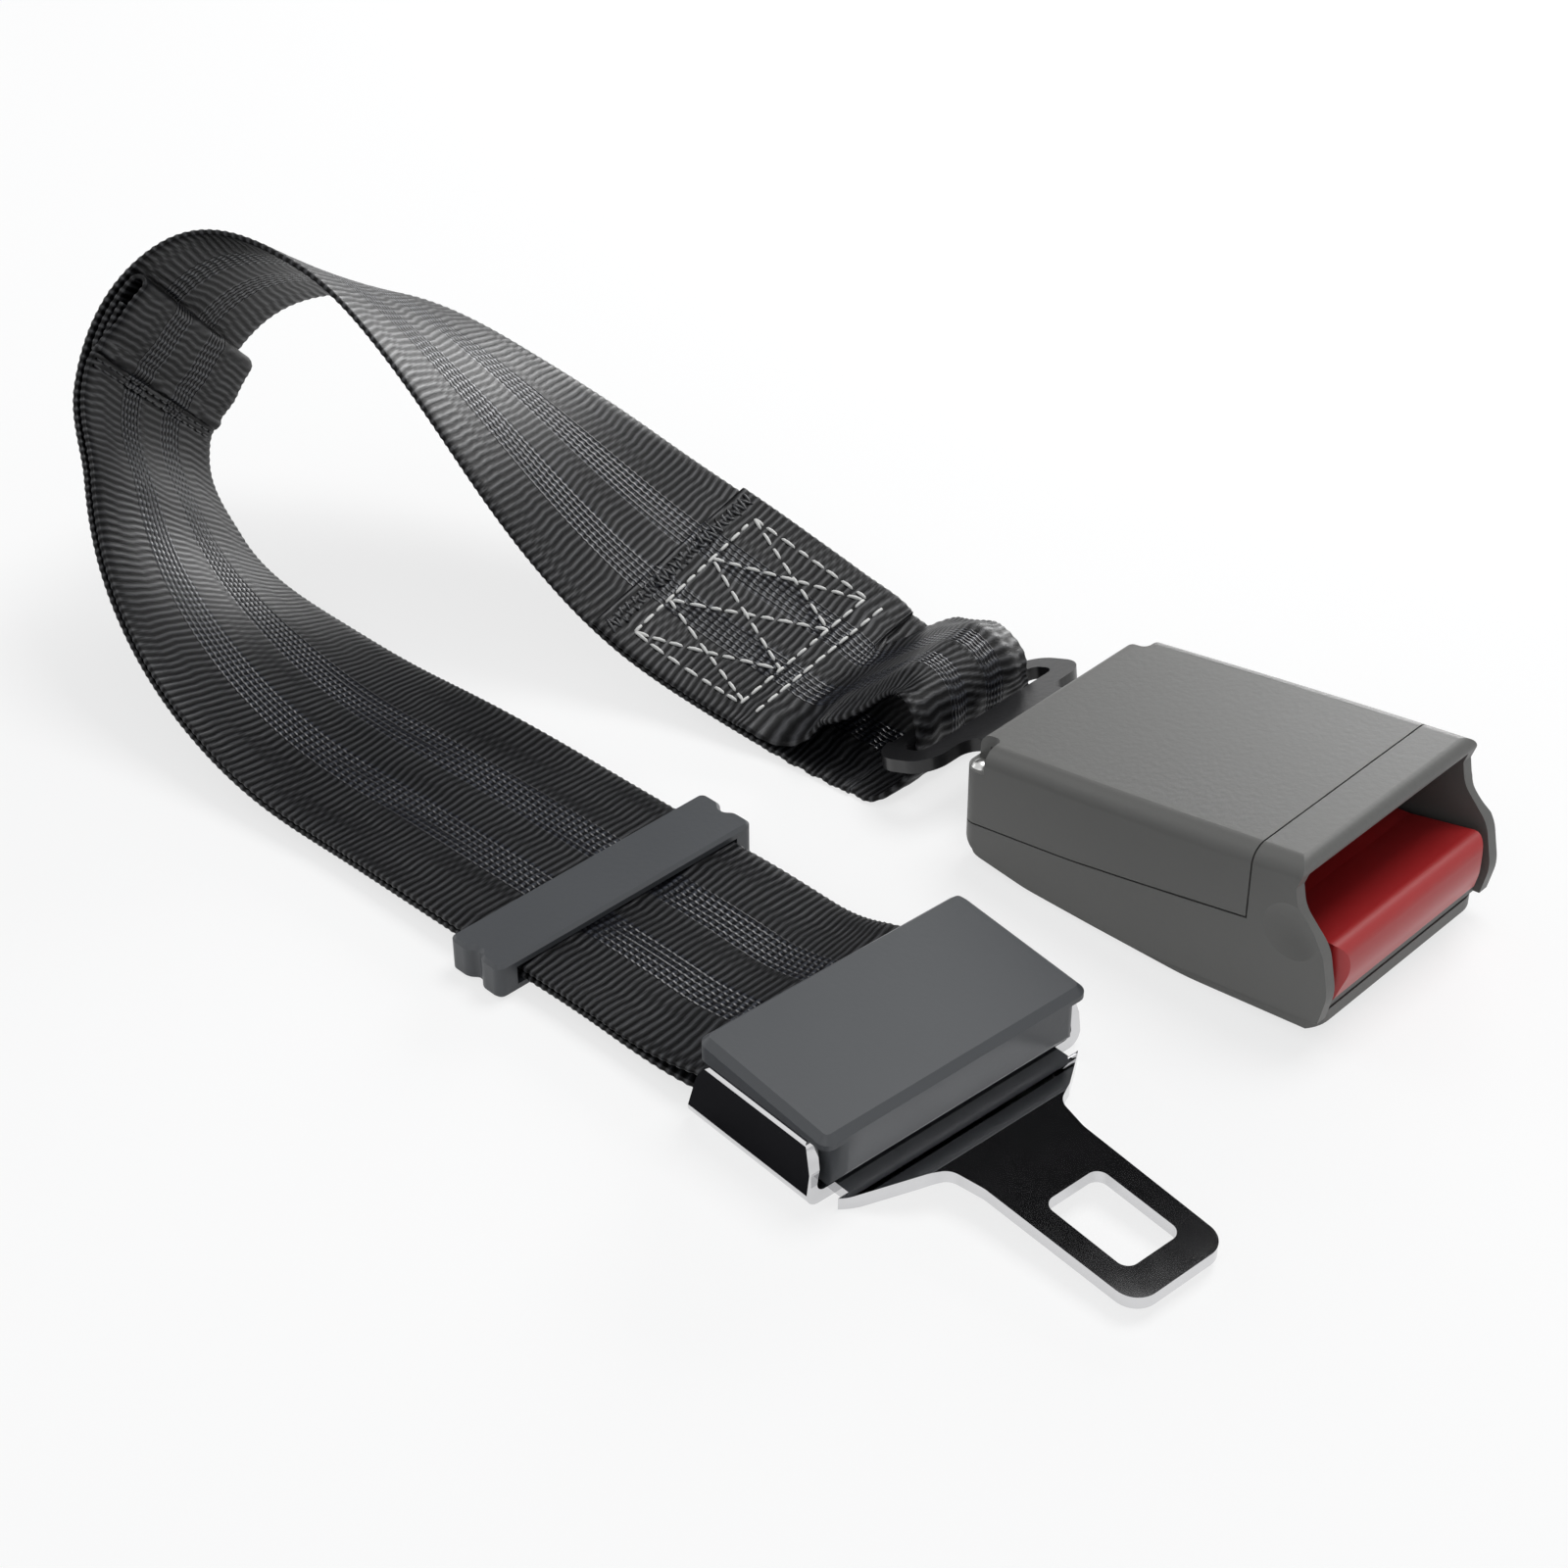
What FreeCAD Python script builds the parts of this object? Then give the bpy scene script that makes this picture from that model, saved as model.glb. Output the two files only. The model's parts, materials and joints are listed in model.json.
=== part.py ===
import FreeCAD
import Part
import math
import os

# Seat belt extender: webbing with an adjustable tongue at one end and a push button buckle at the other.
# Millimetres, +Z up. It lies on a table: blade towards +X, webbing loop towards -X, buckle on the +Y side.

Vector = FreeCAD.Vector
UP = Vector(0, 0, 1)

# Webbing
webbing_width = 48.0
webbing_thickness = 1.2
layer_gap = 0.3
layer_pitch = webbing_thickness + layer_gap
hem_layers = 3
hem_length = 24.0
joint_gap = 0.2
free_end_length = 235.0
tail_length = 66.0
tail_lift_off = 20.0
tail_half_width = 22.6
eye_crest = 9.9
entry_length = 6.0
station_spacing = 6.0
eye_spacing = 3.0

# Straight run of the webbing from the tongue back towards the loop
run_front = Vector(-430.0, -2.3, 2.9)
run_yaw = 5.0
run_length = 88.0

# Tongue plate
sheet = 2.2
tray_rear = -424.5
tray_front = -397.0
tray_half_width = 29.3
tray_corner = 4.4
flange_height = 11.4
flange_rear_radius = 7.0
groove_skin = 0.9
flange_lean = 1.6
shoulder_front = -386.5
neck_half_width = 13.6
blade_half_width = 10.4
blade_tip = -348.4
blade_rise = 4.0
blade_fall = 2.2
joggle_start = -392.5
joggle_end = -385.5
tip_radius = 4.0
window_front = -354.0
window_length = 17.0
window_half_width = 5.8
window_radius = 2.0

# Adjuster bar and its cover
bar_depth = 8.0
bar_height = 3.2
bar_bottom = 4.2
bar_centre = -404.0
bar_slide = 2.0
running_clearance = 0.3
cover_front = -394.4
cover_length = 29.4
cover_top = 14.0
cover_rear_rise = 2.2
cover_half_width = 27.5
cover_wall = 1.8
cover_skirt_clearance = 0.5
cover_bevel = 1.2

# Keeper
keeper_depth = 12.6
keeper_half_width = 28.4
keeper_bottom = 0.2
keeper_bar = 1.6
keeper_distance = 43.6
keeper_turn = -1.6
keeper_scallop = 1.7
keeper_edge = 0.6
keeper_side_play = 0.6

# Buckle: its own frame has u forward, v across and w up, with the origin under the middle of the rear face
buckle_rear = Vector(-447.3, 72.7, 0.0)
buckle_yaw = 5.4
housing_length = 74.0
housing_half_width = 24.2
housing_rear_half_width = 24.2
housing_bulge = 0.6
housing_rear_height = 23.4
housing_top_radius = 3.0
hood_length = 69.0
hood_height = 33.4
housing_wall = 2.2
housing_corner = 3.0
front_allowance = 4.0
base_height = 4.6
base_inset = 1.0
base_floor = 2.6
hood_depth = 10.0
hood_lip_height = 27.8
lid_length = hood_length - hood_depth
seam_rear = 8.4
seam_front = 18.5
seam_sag = 0.8
shut_line = 0.3
corner_notch = 4.8
notch_depth = 4.2
corner_rivet_radius = 0.9
corner_rivet_head = 1.7
corner_rivet_length = 8.0
corner_rivet_place = 2.3
hood_thickness = 2.8
sill_height = 6.0
sill_depth = 2.6

# Mechanism: its own frame leans with the lid, with p along the lid and q up from a plane close under its top
mechanism_tilt = 7.6
mechanism_height = 22.0
frame_sheet = 2.0
frame_depth = 3.2
frame_rear = 4.0
frame_front = 60.0
frame_half_width = 15.0
frame_wall_front = 56.0
frame_wall_rear = 20.0
frame_wall_height = 9.5
frame_wall_slope = 13.0
tongue_gap = 3.2
anchor_sheet = 2.5
anchor_head_rear = -25.0
anchor_head_front = -10.5
anchor_head_half_width = 22.0
anchor_bend = 12.0
anchor_bend_place = -2.0
anchor_bar = 4.6
anchor_slot = 5.2
anchor_slot_half_width = 18.0
anchor_neck_half_width = 11.0
anchor_neck_front = 16.0
rivet_radius = 2.0
rivet_head_radius = 3.4
rivet_head = 0.7
rivet_spacing = 12.0
rivet_place = 9.5
pin_radius = 1.5
pin_place = 25.0
pin_depth = 12.6
pin_fit = 0.05
latch_sheet = 2.4
latch_half_width = 8.0
latch_reach = 18.0
latch_tooth_length = 3.0
latch_tooth_half_width = 4.4
latch_ear_length = 5.0
latch_ear_half_width = 11.6
ejector_front = 38.4
ejector_length = 11.0
ejector_half_width = 8.0
ejector_travel = 6.0
ejector_bore = 1.7
button_travel = 5.0
button_half_width = 20.4
button_rear = 54.0
button_pocket = 6.0
button_arm_width = 2.4
button_arm_inner = 9.0
button_bottom = 5.4
button_step = 68.6
button_foot = 6.5
button_spring_radius = 2.2
button_spring_offset = 14.6
button_spring_height = 9.0
button_spring_rear = 33.0
spring_seat_half_width = 2.4
latch_spring_radius = 2.0
latch_spring_place = 36.5
latch_post_height = 3.4
ejector_spring_radius = 1.2
lid_boss = 2.0


def block(x, y, z):
    """A box from three (low, high) pairs."""
    return Part.makeBox(x[1] - x[0], y[1] - y[0], z[1] - z[0], Vector(x[0], y[0], z[0]))


def rod(start, axis, radius, length):
    return Part.makeCylinder(radius, length, start, axis)


def rounded_wire(corners, place):
    """A closed outline through (a, b, radius) corners, rounded by tangent arcs; place maps (a, b) to 3-D."""
    edges = []
    stops = []
    count = len(corners)
    for k in range(count):
        a, b, radius = corners[k]
        here = Vector(a, b, 0)
        before = Vector(corners[k - 1][0], corners[k - 1][1], 0) - here
        after = Vector(corners[(k + 1) % count][0], corners[(k + 1) % count][1], 0) - here
        turn = before.getAngle(after)
        before_length = before.Length
        after_length = after.Length
        before.normalize()
        after.normalize()
        if radius < 0.01 or turn > math.radians(179.5):
            stops.append((here, None, here))
            continue
        radius = min(radius, 0.48 * min(before_length, after_length) * math.tan(turn / 2))
        reach = radius / math.tan(turn / 2)
        inward = before + after
        inward.normalize()
        middle = here + inward * (radius / math.sin(turn / 2) - radius)
        stops.append((here + before * reach, middle, here + after * reach))
    for k in range(count):
        first, middle, last = stops[k]
        following = stops[(k + 1) % count][0]
        if middle is not None:
            edges.append(Part.Arc(place(first), place(middle), place(last)).toShape())
        if last.distanceToPoint(following) > 0.001:
            edges.append(Part.LineSegment(place(last), place(following)).toShape())
    return Part.Wire(edges)


def plan(corners, low, high):
    """An outline in X and Y, raised from low to high."""
    wire = rounded_wire(corners, lambda p: Vector(p.x, p.y, low))
    return Part.Face(wire).extrude(Vector(0, 0, high - low))


def side(corners, left, right):
    """An outline in X and Z, pushed across from left to right."""
    wire = rounded_wire(corners, lambda p: Vector(p.x, left, p.y))
    return Part.Face(wire).extrude(Vector(0, right - left, 0))


def section(corners, rear, front):
    """An outline in Y and Z, pushed forward from rear to front."""
    wire = rounded_wire(corners, lambda p: Vector(rear, p.x, p.y))
    return Part.Face(wire).extrude(Vector(front - rear, 0, 0))


def mirrored(shape):
    return shape.mirror(Vector(0, 0, 0), Vector(0, 1, 0))


def both_sides(shape):
    return shape.fuse(mirrored(shape))


def moved(shape, place):
    copy = shape.copy()
    copy.Placement = place.multiply(copy.Placement)
    return copy


def joined(shapes):
    return shapes[0].fuse(shapes[1:]).removeSplitter()


# Webbing: the route's centres and width directions, from the tongue round the loop to the buckle
run_direction = Vector(-math.cos(math.radians(run_yaw)), -math.sin(math.radians(run_yaw)), 0)
run_across = Vector(-math.sin(math.radians(run_yaw)), math.cos(math.radians(run_yaw)), 0)
loop_route = [
    (Vector(-534.0, -12.2, 3.6), Vector(-0.06, 0.99, -0.03)),
    (Vector(-551.5, -13.4, 5.1), Vector(-0.05, 0.99, -0.14)),
    (Vector(-569.2, -13.6, 8.4), Vector(-0.07, 0.95, -0.30)),
    (Vector(-586.0, -12.8, 13.8), Vector(-0.12, 0.86, -0.50)),
    (Vector(-601.4, -9.8, 21.7), Vector(-0.21, 0.73, -0.65)),
    (Vector(-613.8, -3.2, 32.8), Vector(-0.28, 0.65, -0.70)),
    (Vector(-619.6, 8.2, 45.6), Vector(-0.33, 0.62, -0.71)),
    (Vector(-615.0, 21.9, 55.2), Vector(-0.41, 0.62, -0.67)),
    (Vector(-601.3, 32.8, 56.9), Vector(-0.49, 0.69, -0.54)),
    (Vector(-586.0, 39.6, 51.2), Vector(-0.48, 0.78, -0.39)),
    (Vector(-571.2, 44.4, 42.2), Vector(-0.43, 0.87, -0.25)),
    (Vector(-556.8, 48.8, 32.2), Vector(-0.35, 0.93, -0.09)),
    (Vector(-542.4, 53.3, 22.4), Vector(-0.28, 0.96, 0.05)),
    (Vector(-527.0, 58.2, 14.0), Vector(-0.24, 0.96, 0.15)),
    (Vector(-510.5, 63.0, 7.7), Vector(-0.23, 0.96, 0.13)),
    (Vector(-494.0, 66.6, 3.4), Vector(-0.19, 0.98, 0.06)),
    (Vector(-482.0, 68.8, 1.4), Vector(-0.14, 0.99, 0.01)),
    (Vector(-474.0, 70.0, 0.8), Vector(-0.10, 0.99, 0.0)),
]


def run_point(distance):
    return run_front + run_direction * distance


def eased(share):
    """0 to 1, with a soft start and end."""
    share = max(0.0, min(1.0, share))
    return share * share * (3 - 2 * share)


def rails(places):
    """Smooth curves along the middle and the edge of webbing through (centre, reach to the edge) places."""
    marks = [0.0]
    for k in range(1, len(places)):
        marks.append(marks[-1] + places[k][0].distanceToPoint(places[k - 1][0]))
    middle = Part.BSplineCurve()
    middle.interpolate(Points=[centre for centre, reach in places], Parameters=marks)
    edge = Part.BSplineCurve()
    edge.interpolate(Points=[centre + reach for centre, reach in places], Parameters=marks)
    return middle, edge, marks[-1]


def station(route, mark):
    """The centre, width direction, direction out of the upper face and half width at a mark."""
    middle, edge, length = route
    centre = middle.value(mark)
    forward = middle.tangent(mark)[0]
    reach = edge.value(mark) - centre
    out = reach.cross(forward)
    out.normalize()
    level = forward.cross(out)
    level.normalize()
    return centre, level, out, reach.Length


def marks_between(start, end):
    """Both ends and every whole multiple of the spacing between them, so that layers share their stations."""
    low = min(start, end)
    high = max(start, end)
    marks = [low]
    for k in range(int(low / station_spacing), int(high / station_spacing) + 1):
        mark = k * station_spacing
        if low + station_spacing / 3 < mark < high - station_spacing / 3:
            marks.append(mark)
    marks.append(high)
    return marks if start < end else marks[::-1]


def strip(places):
    """Webbing through (centre, width direction, outward direction, half width, thickness) places."""
    wires = []
    for centre, across, out, half, thick in places:
        a = across * half
        b = out * (thick / 2)
        corners = [centre + a + b, centre - a + b, centre - a - b, centre + a - b]
        wires.append(Part.makePolygon(corners + corners[:1]))
    return Part.makeLoft(wires, True, True)


half_webbing = webbing_width / 2
bar_front = bar_centre + bar_depth / 2
bar_rear = bar_centre - bar_depth / 2
bar_top = bar_bottom + bar_height
wrap_lift = layer_gap + webbing_thickness / 2
under_bar = bar_bottom - wrap_lift
over_bar = bar_top + wrap_lift
entry_route = [
    (Vector(bar_rear - entry_length, -0.5, under_bar), Vector(-0.02, 1, 0)),
    (Vector(tray_rear + 2.0, -0.9, under_bar - 0.1), Vector(-0.05, 1, 0)),
]
run_route = [(run_point(run_length * k / 4), run_across) for k in range(5)]
whole_route = entry_route + run_route + loop_route
load_route = rails([(centre, across * half_webbing) for centre, across in whole_route])
load_length = load_route[2]


def webbing_main():
    """The load run: round the adjuster bar, along the table, over the loop and under the anchor plate."""
    radius = (over_bar - under_bar) / 2
    turn_centre = Vector(bar_front + wrap_lift - radius, 0, (under_bar + over_bar) / 2)
    level = Vector(0, 1, 0)
    places = [(Vector(bar_rear, 0, over_bar), level, Vector(0, 0, -1), half_webbing, webbing_thickness)]
    for angle in range(90, -91, -20):
        ray = Vector(math.cos(math.radians(angle)), 0, math.sin(math.radians(angle)))
        places.append((turn_centre + ray * radius, level, ray * -1, half_webbing, webbing_thickness))
    places.append((Vector(bar_rear, 0, under_bar), level, UP, half_webbing, webbing_thickness))
    for mark in marks_between(0, load_length):
        centre, across, out, half = station(load_route, mark)
        places.append((centre, across, out, half_webbing, webbing_thickness))
    return strip(places)


def webbing_free_end():
    """The free end: off the bar, flat on the load run, up the loop's near limb to its rolled hem."""
    level = Vector(0, 1, 0)
    drop = over_bar - under_bar
    lay_down = 30.0
    hem_start = free_end_length - hem_length
    hem_ramp = 4.0
    hem_swell = (hem_layers - 1) * (webbing_thickness + layer_gap / 2)
    places = [(Vector(bar_rear - joint_gap, 0, over_bar), level, UP, half_webbing, webbing_thickness)]
    for mark in marks_between(0, free_end_length):
        centre, across, out, half = station(load_route, mark)
        swell = hem_swell * eased((mark - hem_start) / hem_ramp)
        lift = drop + (layer_pitch - drop) * eased(mark / lay_down) + swell / 2
        places.append((centre + out * lift, across, out, half_webbing, webbing_thickness + swell))
    return strip(places)


def webbing_eye():
    """The sewn eye: from under the anchor bar up through its slot, over the bar and back as the sewn tail."""
    buckle = buckle_placement()
    bar = anchor_bar_centre()
    slot_u = bar.x + anchor_bar / 2 + running_clearance + webbing_thickness / 2 + 0.05
    crest = bar.z + eye_crest
    level = buckle.Rotation.multVec(Vector(0, 1, 0))
    loop = [
        (Vector(bar.x - 3.6, 0, 0.8), 23.0, 0.0),
        (Vector(bar.x + 0.6, 0, 1.3), 21.5, 0.0),
        (Vector(slot_u - 0.5, 0, 3.2), 18.0, 0.0),
        (Vector(slot_u, 0, bar.z - 2.2), 15.6, 0.0),
        (Vector(slot_u + 0.2, 0.2, bar.z + 2.4), 15.2, 0.0),
        (Vector(slot_u - 1.2, 1.0, bar.z + 6.6), 14.6, 0.0),
        (Vector(bar.x - 1.5, 2.0, crest - 0.7), 14.2, 0.3),
        (Vector(bar.x - 5.5, 2.4, crest), 14.4, 0.8),
        (Vector(bar.x - 10.0, 2.2, crest - 3.0), 16.2, 2.6),
        (Vector(bar.x - 14.5, 1.4, crest - 7.2), 18.8, 3.6),
        (Vector(bar.x - 19.5, 0.4, crest - 10.8), 21.6, 2.8),
    ]
    path = [(buckle.multVec(point), level * half + UP * lift) for point, half, lift in loop]
    for mark in marks_between(load_length - tail_lift_off, load_length - tail_length):
        centre, across, out, half = station(load_route, mark)
        spread = tail_half_width + 0.7 * (len(path) - len(loop))
        path.append((centre - out * layer_pitch, across * min(half_webbing, spread)))
    eye_route = rails(path)
    places = []
    mark = 0.0
    while mark < eye_route[2] - eye_spacing / 2:
        centre, across, out, half = station(eye_route, mark)
        places.append((centre, across, out, half, webbing_thickness))
        mark += eye_spacing
    centre, across, out, half = station(eye_route, eye_route[2])
    places.append((centre, across, out, half, webbing_thickness))
    return strip(places)


def webbing_keeper():
    """A slide of two bars joined at scalloped ends, with both layers of webbing between the bars."""
    low = keeper_bottom + keeper_bar
    high = run_front.z + webbing_thickness / 2 + layer_pitch + running_clearance
    top = high + keeper_bar
    half_depth = keeper_depth / 2
    outline = [
        (-half_depth, -keeper_half_width, 1.6), (-half_depth * 0.3, -keeper_half_width, 2.2),
        (0, -keeper_half_width + keeper_scallop, 3.0), (half_depth * 0.3, -keeper_half_width, 2.2),
        (half_depth, -keeper_half_width, 1.6),
        (half_depth, keeper_half_width, 1.6), (half_depth * 0.3, keeper_half_width, 2.2),
        (0, keeper_half_width - keeper_scallop, 3.0), (-half_depth * 0.3, keeper_half_width, 2.2),
        (-half_depth, keeper_half_width, 1.6),
    ]
    body = plan(outline, keeper_bottom, top)
    rims = []
    for edge in body.Edges:
        box = edge.BoundBox
        if abs(box.ZMin - top) < 0.01 or abs(box.ZMax - keeper_bottom) < 0.01:
            rims.append(edge)
    body = body.makeChamfer(keeper_edge, rims)
    slot_half = half_webbing + keeper_side_play
    body = body.cut(block((-half_depth - 1, half_depth + 1), (-slot_half, slot_half), (low, high)))
    centre = run_point(keeper_distance)
    turn = FreeCAD.Rotation(UP, run_yaw + keeper_turn)
    return moved(body, FreeCAD.Placement(Vector(centre.x, centre.y, 0), turn))


def tongue_plate():
    """A stamped plate: tray with two curled flanges, a joggle up to the neck, and the windowed blade."""
    far = tray_half_width + 2
    edge = blade_tip + 2
    tip_top = sheet + blade_rise - blade_fall
    strip_side = [
        (tray_rear, 0, 0), (joggle_start, 0, 4.0), (joggle_end, blade_rise, 4.0), (edge, tip_top - sheet, 0),
        (edge, tip_top, 0), (joggle_end - 0.6, blade_rise + sheet, 2.0), (joggle_start - 0.6, sheet, 2.0),
        (tray_rear, sheet, 0),
    ]
    sheet_metal = side(strip_side, -far, far)
    half_outline = [
        (tray_rear, tray_half_width, 1.5), (tray_front, tray_half_width, 3.0),
        (shoulder_front, neck_half_width + 2.0, 3.0), (joggle_end + 1.0, blade_half_width + 1.2, 3.0),
        (joggle_end + 7.0, blade_half_width, 6.0), (blade_tip, blade_half_width - 0.6, tip_radius),
    ]
    outline = [(x, -y, r) for x, y, r in half_outline] + list(reversed(half_outline))
    plate = sheet_metal.common(plan(outline, -1, 20))
    window = [
        (window_front, -window_half_width, window_radius), (window_front, window_half_width, window_radius),
        (window_front - window_length, window_half_width, window_radius),
        (window_front - window_length, -window_half_width, window_radius),
    ]
    plate = plate.cut(plan(window, -1, 20))
    outer = tray_half_width
    curl = [
        (outer - 6.0, 0, 0), (outer, 0, tray_corner), (outer - flange_lean, flange_height, 0.8),
        (outer - flange_lean - sheet, flange_height, 0.8), (outer - sheet, sheet, tray_corner - sheet),
        (outer - 6.0, sheet, 0),
    ]
    flange = section(curl, tray_rear, tray_front)
    flange_side = [
        (tray_rear, -1, 0), (tray_front + 1.0, -1, 0), (tray_front + 0.5, 5.0, 4.0),
        (tray_front - 2.0, flange_height + 1, 3.0), (tray_rear + 2.0, flange_height + 1, flange_rear_radius),
        (tray_rear, sheet, 0),
    ]
    flange = flange.common(side(flange_side, 0, far))
    corner_cut = block((tray_rear - 1, tray_front + 3.0), (outer - 6.0, far + 1), (-1, sheet + 0.01))
    plate = plate.cut(both_sides(corner_cut))
    slot_length = bar_depth + 2 * bar_slide + 2 * running_clearance
    groove = block(
        (bar_centre - slot_length / 2, bar_centre + slot_length / 2), (outer - 6.0, groove_floor()),
        (bar_bottom - running_clearance, bar_top + running_clearance),
    )
    flange = flange.cut(groove)
    return joined([plate, flange, mirrored(flange)])


def groove_floor():
    """How far out the blind groove in each flange reaches, with a skin left outside it."""
    lean_there = flange_lean * (bar_top + running_clearance) / flange_height
    return tray_half_width - lean_there - groove_skin


def adjuster_bar():
    """The steel bar that the webbing turns round, with its ends in the flanges' grooves."""
    end = groove_floor() - running_clearance
    outline = [
        (bar_centre - bar_depth / 2, bar_bottom, 1.2), (bar_centre + bar_depth / 2, bar_bottom, 1.4),
        (bar_centre + bar_depth / 2, bar_top, 1.4), (bar_centre - bar_depth / 2, bar_top, 1.2),
    ]
    return side(outline, -end, end)


def adjuster_cover():
    """The moulded cap over the bar: open below and behind, where the webbing comes in."""
    rear = cover_front - cover_length
    step = flange_height + cover_skirt_clearance
    low = sheet + cover_skirt_clearance
    inner = tray_half_width - flange_lean - sheet - cover_skirt_clearance
    upper = [
        (rear, -cover_half_width, 2.0), (cover_front, -cover_half_width, 2.0),
        (cover_front, cover_half_width, 2.0), (rear, cover_half_width, 2.0),
    ]
    rear_top = cover_top + cover_rear_rise
    wedge = [(rear, step, 0), (cover_front, step, 0), (cover_front, cover_top, 0), (rear, rear_top, 0)]
    top = plan(upper, step, rear_top).common(side(wedge, -cover_half_width - 1, cover_half_width + 1))
    rims = []
    for face in top.Faces:
        normal = face.normalAt(0, 0)
        if normal.z > 0.9:
            rims = face.Edges
    top = top.makeChamfer(cover_bevel, rims)
    lower = [
        (rear, -inner, 1.0), (cover_front, -inner, 2.0), (cover_front, inner, 2.0), (rear, inner, 1.0),
    ]
    skirt = plan(lower, low, step)
    slope = [
        (rear - 1, low - 1, 0), (cover_front - 3.2, low - 1, 0), (cover_front + 0.2, low + 3.2, 3.0),
        (cover_front + 0.2, step + 1, 0), (rear - 1, step + 1, 0),
    ]
    skirt = skirt.common(side(slope, -inner - 1, inner + 1))
    body = joined([top, skirt])
    cavity_top = cover_top - cover_wall
    cavity = [
        (rear - 1, low - 1, 0), (cover_front - 3.8, low - 1, 0), (cover_front - cover_wall, low + 3.6, 2.0),
        (cover_front - cover_wall, over_bar + webbing_thickness + 0.6, 1.0),
        (bar_centre - bar_depth, over_bar + webbing_thickness + 0.6, 3.0), (rear - 1, over_bar + 1.4, 0),
    ]
    body = body.cut(side(cavity, -inner + cover_wall / 2, inner - cover_wall / 2))
    body = body.cut(block((rear - 1, bar_rear - 1.0), (-inner - 1, inner + 1), (low - 1, over_bar + 1.4)))
    grip = block(
        (bar_centre - bar_depth / 2 - running_clearance, bar_centre + bar_depth / 2 + running_clearance),
        (-cover_half_width, cover_half_width), (low - 1, bar_top + running_clearance),
    )
    body = body.cut(grip)
    return body


def buckle_placement():
    return FreeCAD.Placement(buckle_rear, FreeCAD.Rotation(UP, buckle_yaw))


def mechanism_placement():
    """From the leaning mechanism frame (p, v, q) into the buckle's frame (u, v, w)."""
    tilt = FreeCAD.Rotation(Vector(0, 1, 0), -mechanism_tilt)
    return FreeCAD.Placement(Vector(0, 0, mechanism_height), tilt)


def anchor_bar_centre():
    """The middle of the anchor plate's bar in the buckle's frame."""
    middle = anchor_head_rear + anchor_bar / 2
    return mechanism_placement().multVec(Vector(middle, 0, anchor_top(middle) - anchor_sheet / 2))


def anchor_top(p):
    """The height of the anchor plate's upper face in the mechanism's frame, bent down outside."""
    bent_length = max(0.0, anchor_bend_place - p)
    return -(frame_depth + frame_sheet) - bent_length * math.tan(math.radians(anchor_bend))


def mechanism_top(u):
    """The height of the mechanism frame's zero plane in the buckle's frame."""
    return mechanism_height + math.tan(math.radians(mechanism_tilt)) * u


def top_height(u):
    return housing_rear_height + (hood_height - housing_rear_height) * u / hood_length


def seam_height(u):
    return seam_rear + (seam_front - seam_rear) * u / lid_length


def foot_profile(rise):
    """The boat-like lower edge of the shell, seen from the side: low in the middle, rising to both ends."""
    high = 60.0
    return [
        (-20.0, 7.0 + rise, 0), (-1.0, 6.4 + rise, 4.0), (4.0, 2.2 + rise, 8.0), (14.0, 1.2 + rise, 30.0),
        (40.0, 1.2 + rise, 50.0), (housing_length + 1.0, 5.2 + rise, 0),
        (housing_length + 20.0, 6.6 + rise, 0), (housing_length + 20.0, high, 0), (-20.0, high, 0),
    ]


def housing_envelope(grow):
    """The closed outer form of the housing, shrunk by -grow for its inside."""
    rear = -grow
    front = housing_length + front_allowance + grow
    wide = housing_half_width + grow
    narrow = housing_rear_half_width + grow
    corner = housing_corner + grow
    belly = (wide + narrow) / 2 + housing_bulge
    outline = [
        (rear, -narrow, corner), (housing_length / 2, -belly, 1500.0), (front, -wide, 0), (front, wide, 0),
        (housing_length / 2, belly, 1500.0), (rear, narrow, corner),
    ]
    return plan(outline, -5.0, 45.0)


def front_profile():
    """The S curve of the side walls' front edge, from the foot up to the hood."""
    rear = -10.0
    high = hood_lip_height + 1.5
    return [
        (rear, 0, 0), (housing_length - 1.0, 0, 0), (housing_length + 1.2, 11.0, 9.0),
        (housing_length - 0.6, 19.0, 7.0), (hood_length - 0.8, 24.4, 6.0),
        (hood_length - 1.8, high, 0), (rear, high, 0),
    ]


def under_top(drop):
    """Everything below a plane that is parallel to the lid's top face and drop under it."""
    corners = [
        (-20.0, -5.0, 0), (95.0, -5.0, 0), (95.0, top_height(95.0) - drop, 0),
        (-20.0, top_height(-20.0) - drop, 0),
    ]
    return side(corners, -40, 40)


def above_seam(gap):
    """Everything above the side seam and behind the lid's front seam."""
    middle = lid_length * 0.4
    corners = [
        (-20.0, seam_height(-20.0) + gap, 0), (middle, seam_height(middle) - seam_sag + gap, 120.0),
        (lid_length - gap, seam_height(lid_length) + gap, 0), (lid_length - gap, 60.0, 0), (-20.0, 60.0, 0),
    ]
    return side(corners, -40, 40)


def notched_corners():
    """The stepped rear corners of the lid."""
    low = housing_rear_height - notch_depth
    inner = housing_rear_half_width - corner_notch
    corners = [(-5, inner, 0), (corner_notch, inner, 1.5), (corner_notch, 40, 0), (-5, 40, 0)]
    return both_sides(plan(corners, low, low + 40))


def corner_posts():
    """Solid posts under the notches, which the corner rivets sit in."""
    inner = housing_rear_half_width - corner_notch - running_clearance
    low = seam_height(0) + shut_line
    post = block((0, corner_notch + running_clearance), (inner, 40), (low, housing_rear_height - notch_depth))
    return both_sides(post).common(housing_envelope(0)).common(above_seam(shut_line / 2))


def corner_rivet_bores():
    """The bores for the corner rivets, down from the notches' floors."""
    side_place = housing_rear_half_width - corner_rivet_place
    top = housing_rear_height - notch_depth
    start = Vector(corner_rivet_place, side_place, top - corner_rivet_length)
    return both_sides(rod(start, UP, corner_rivet_radius, corner_rivet_length + 1))


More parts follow.
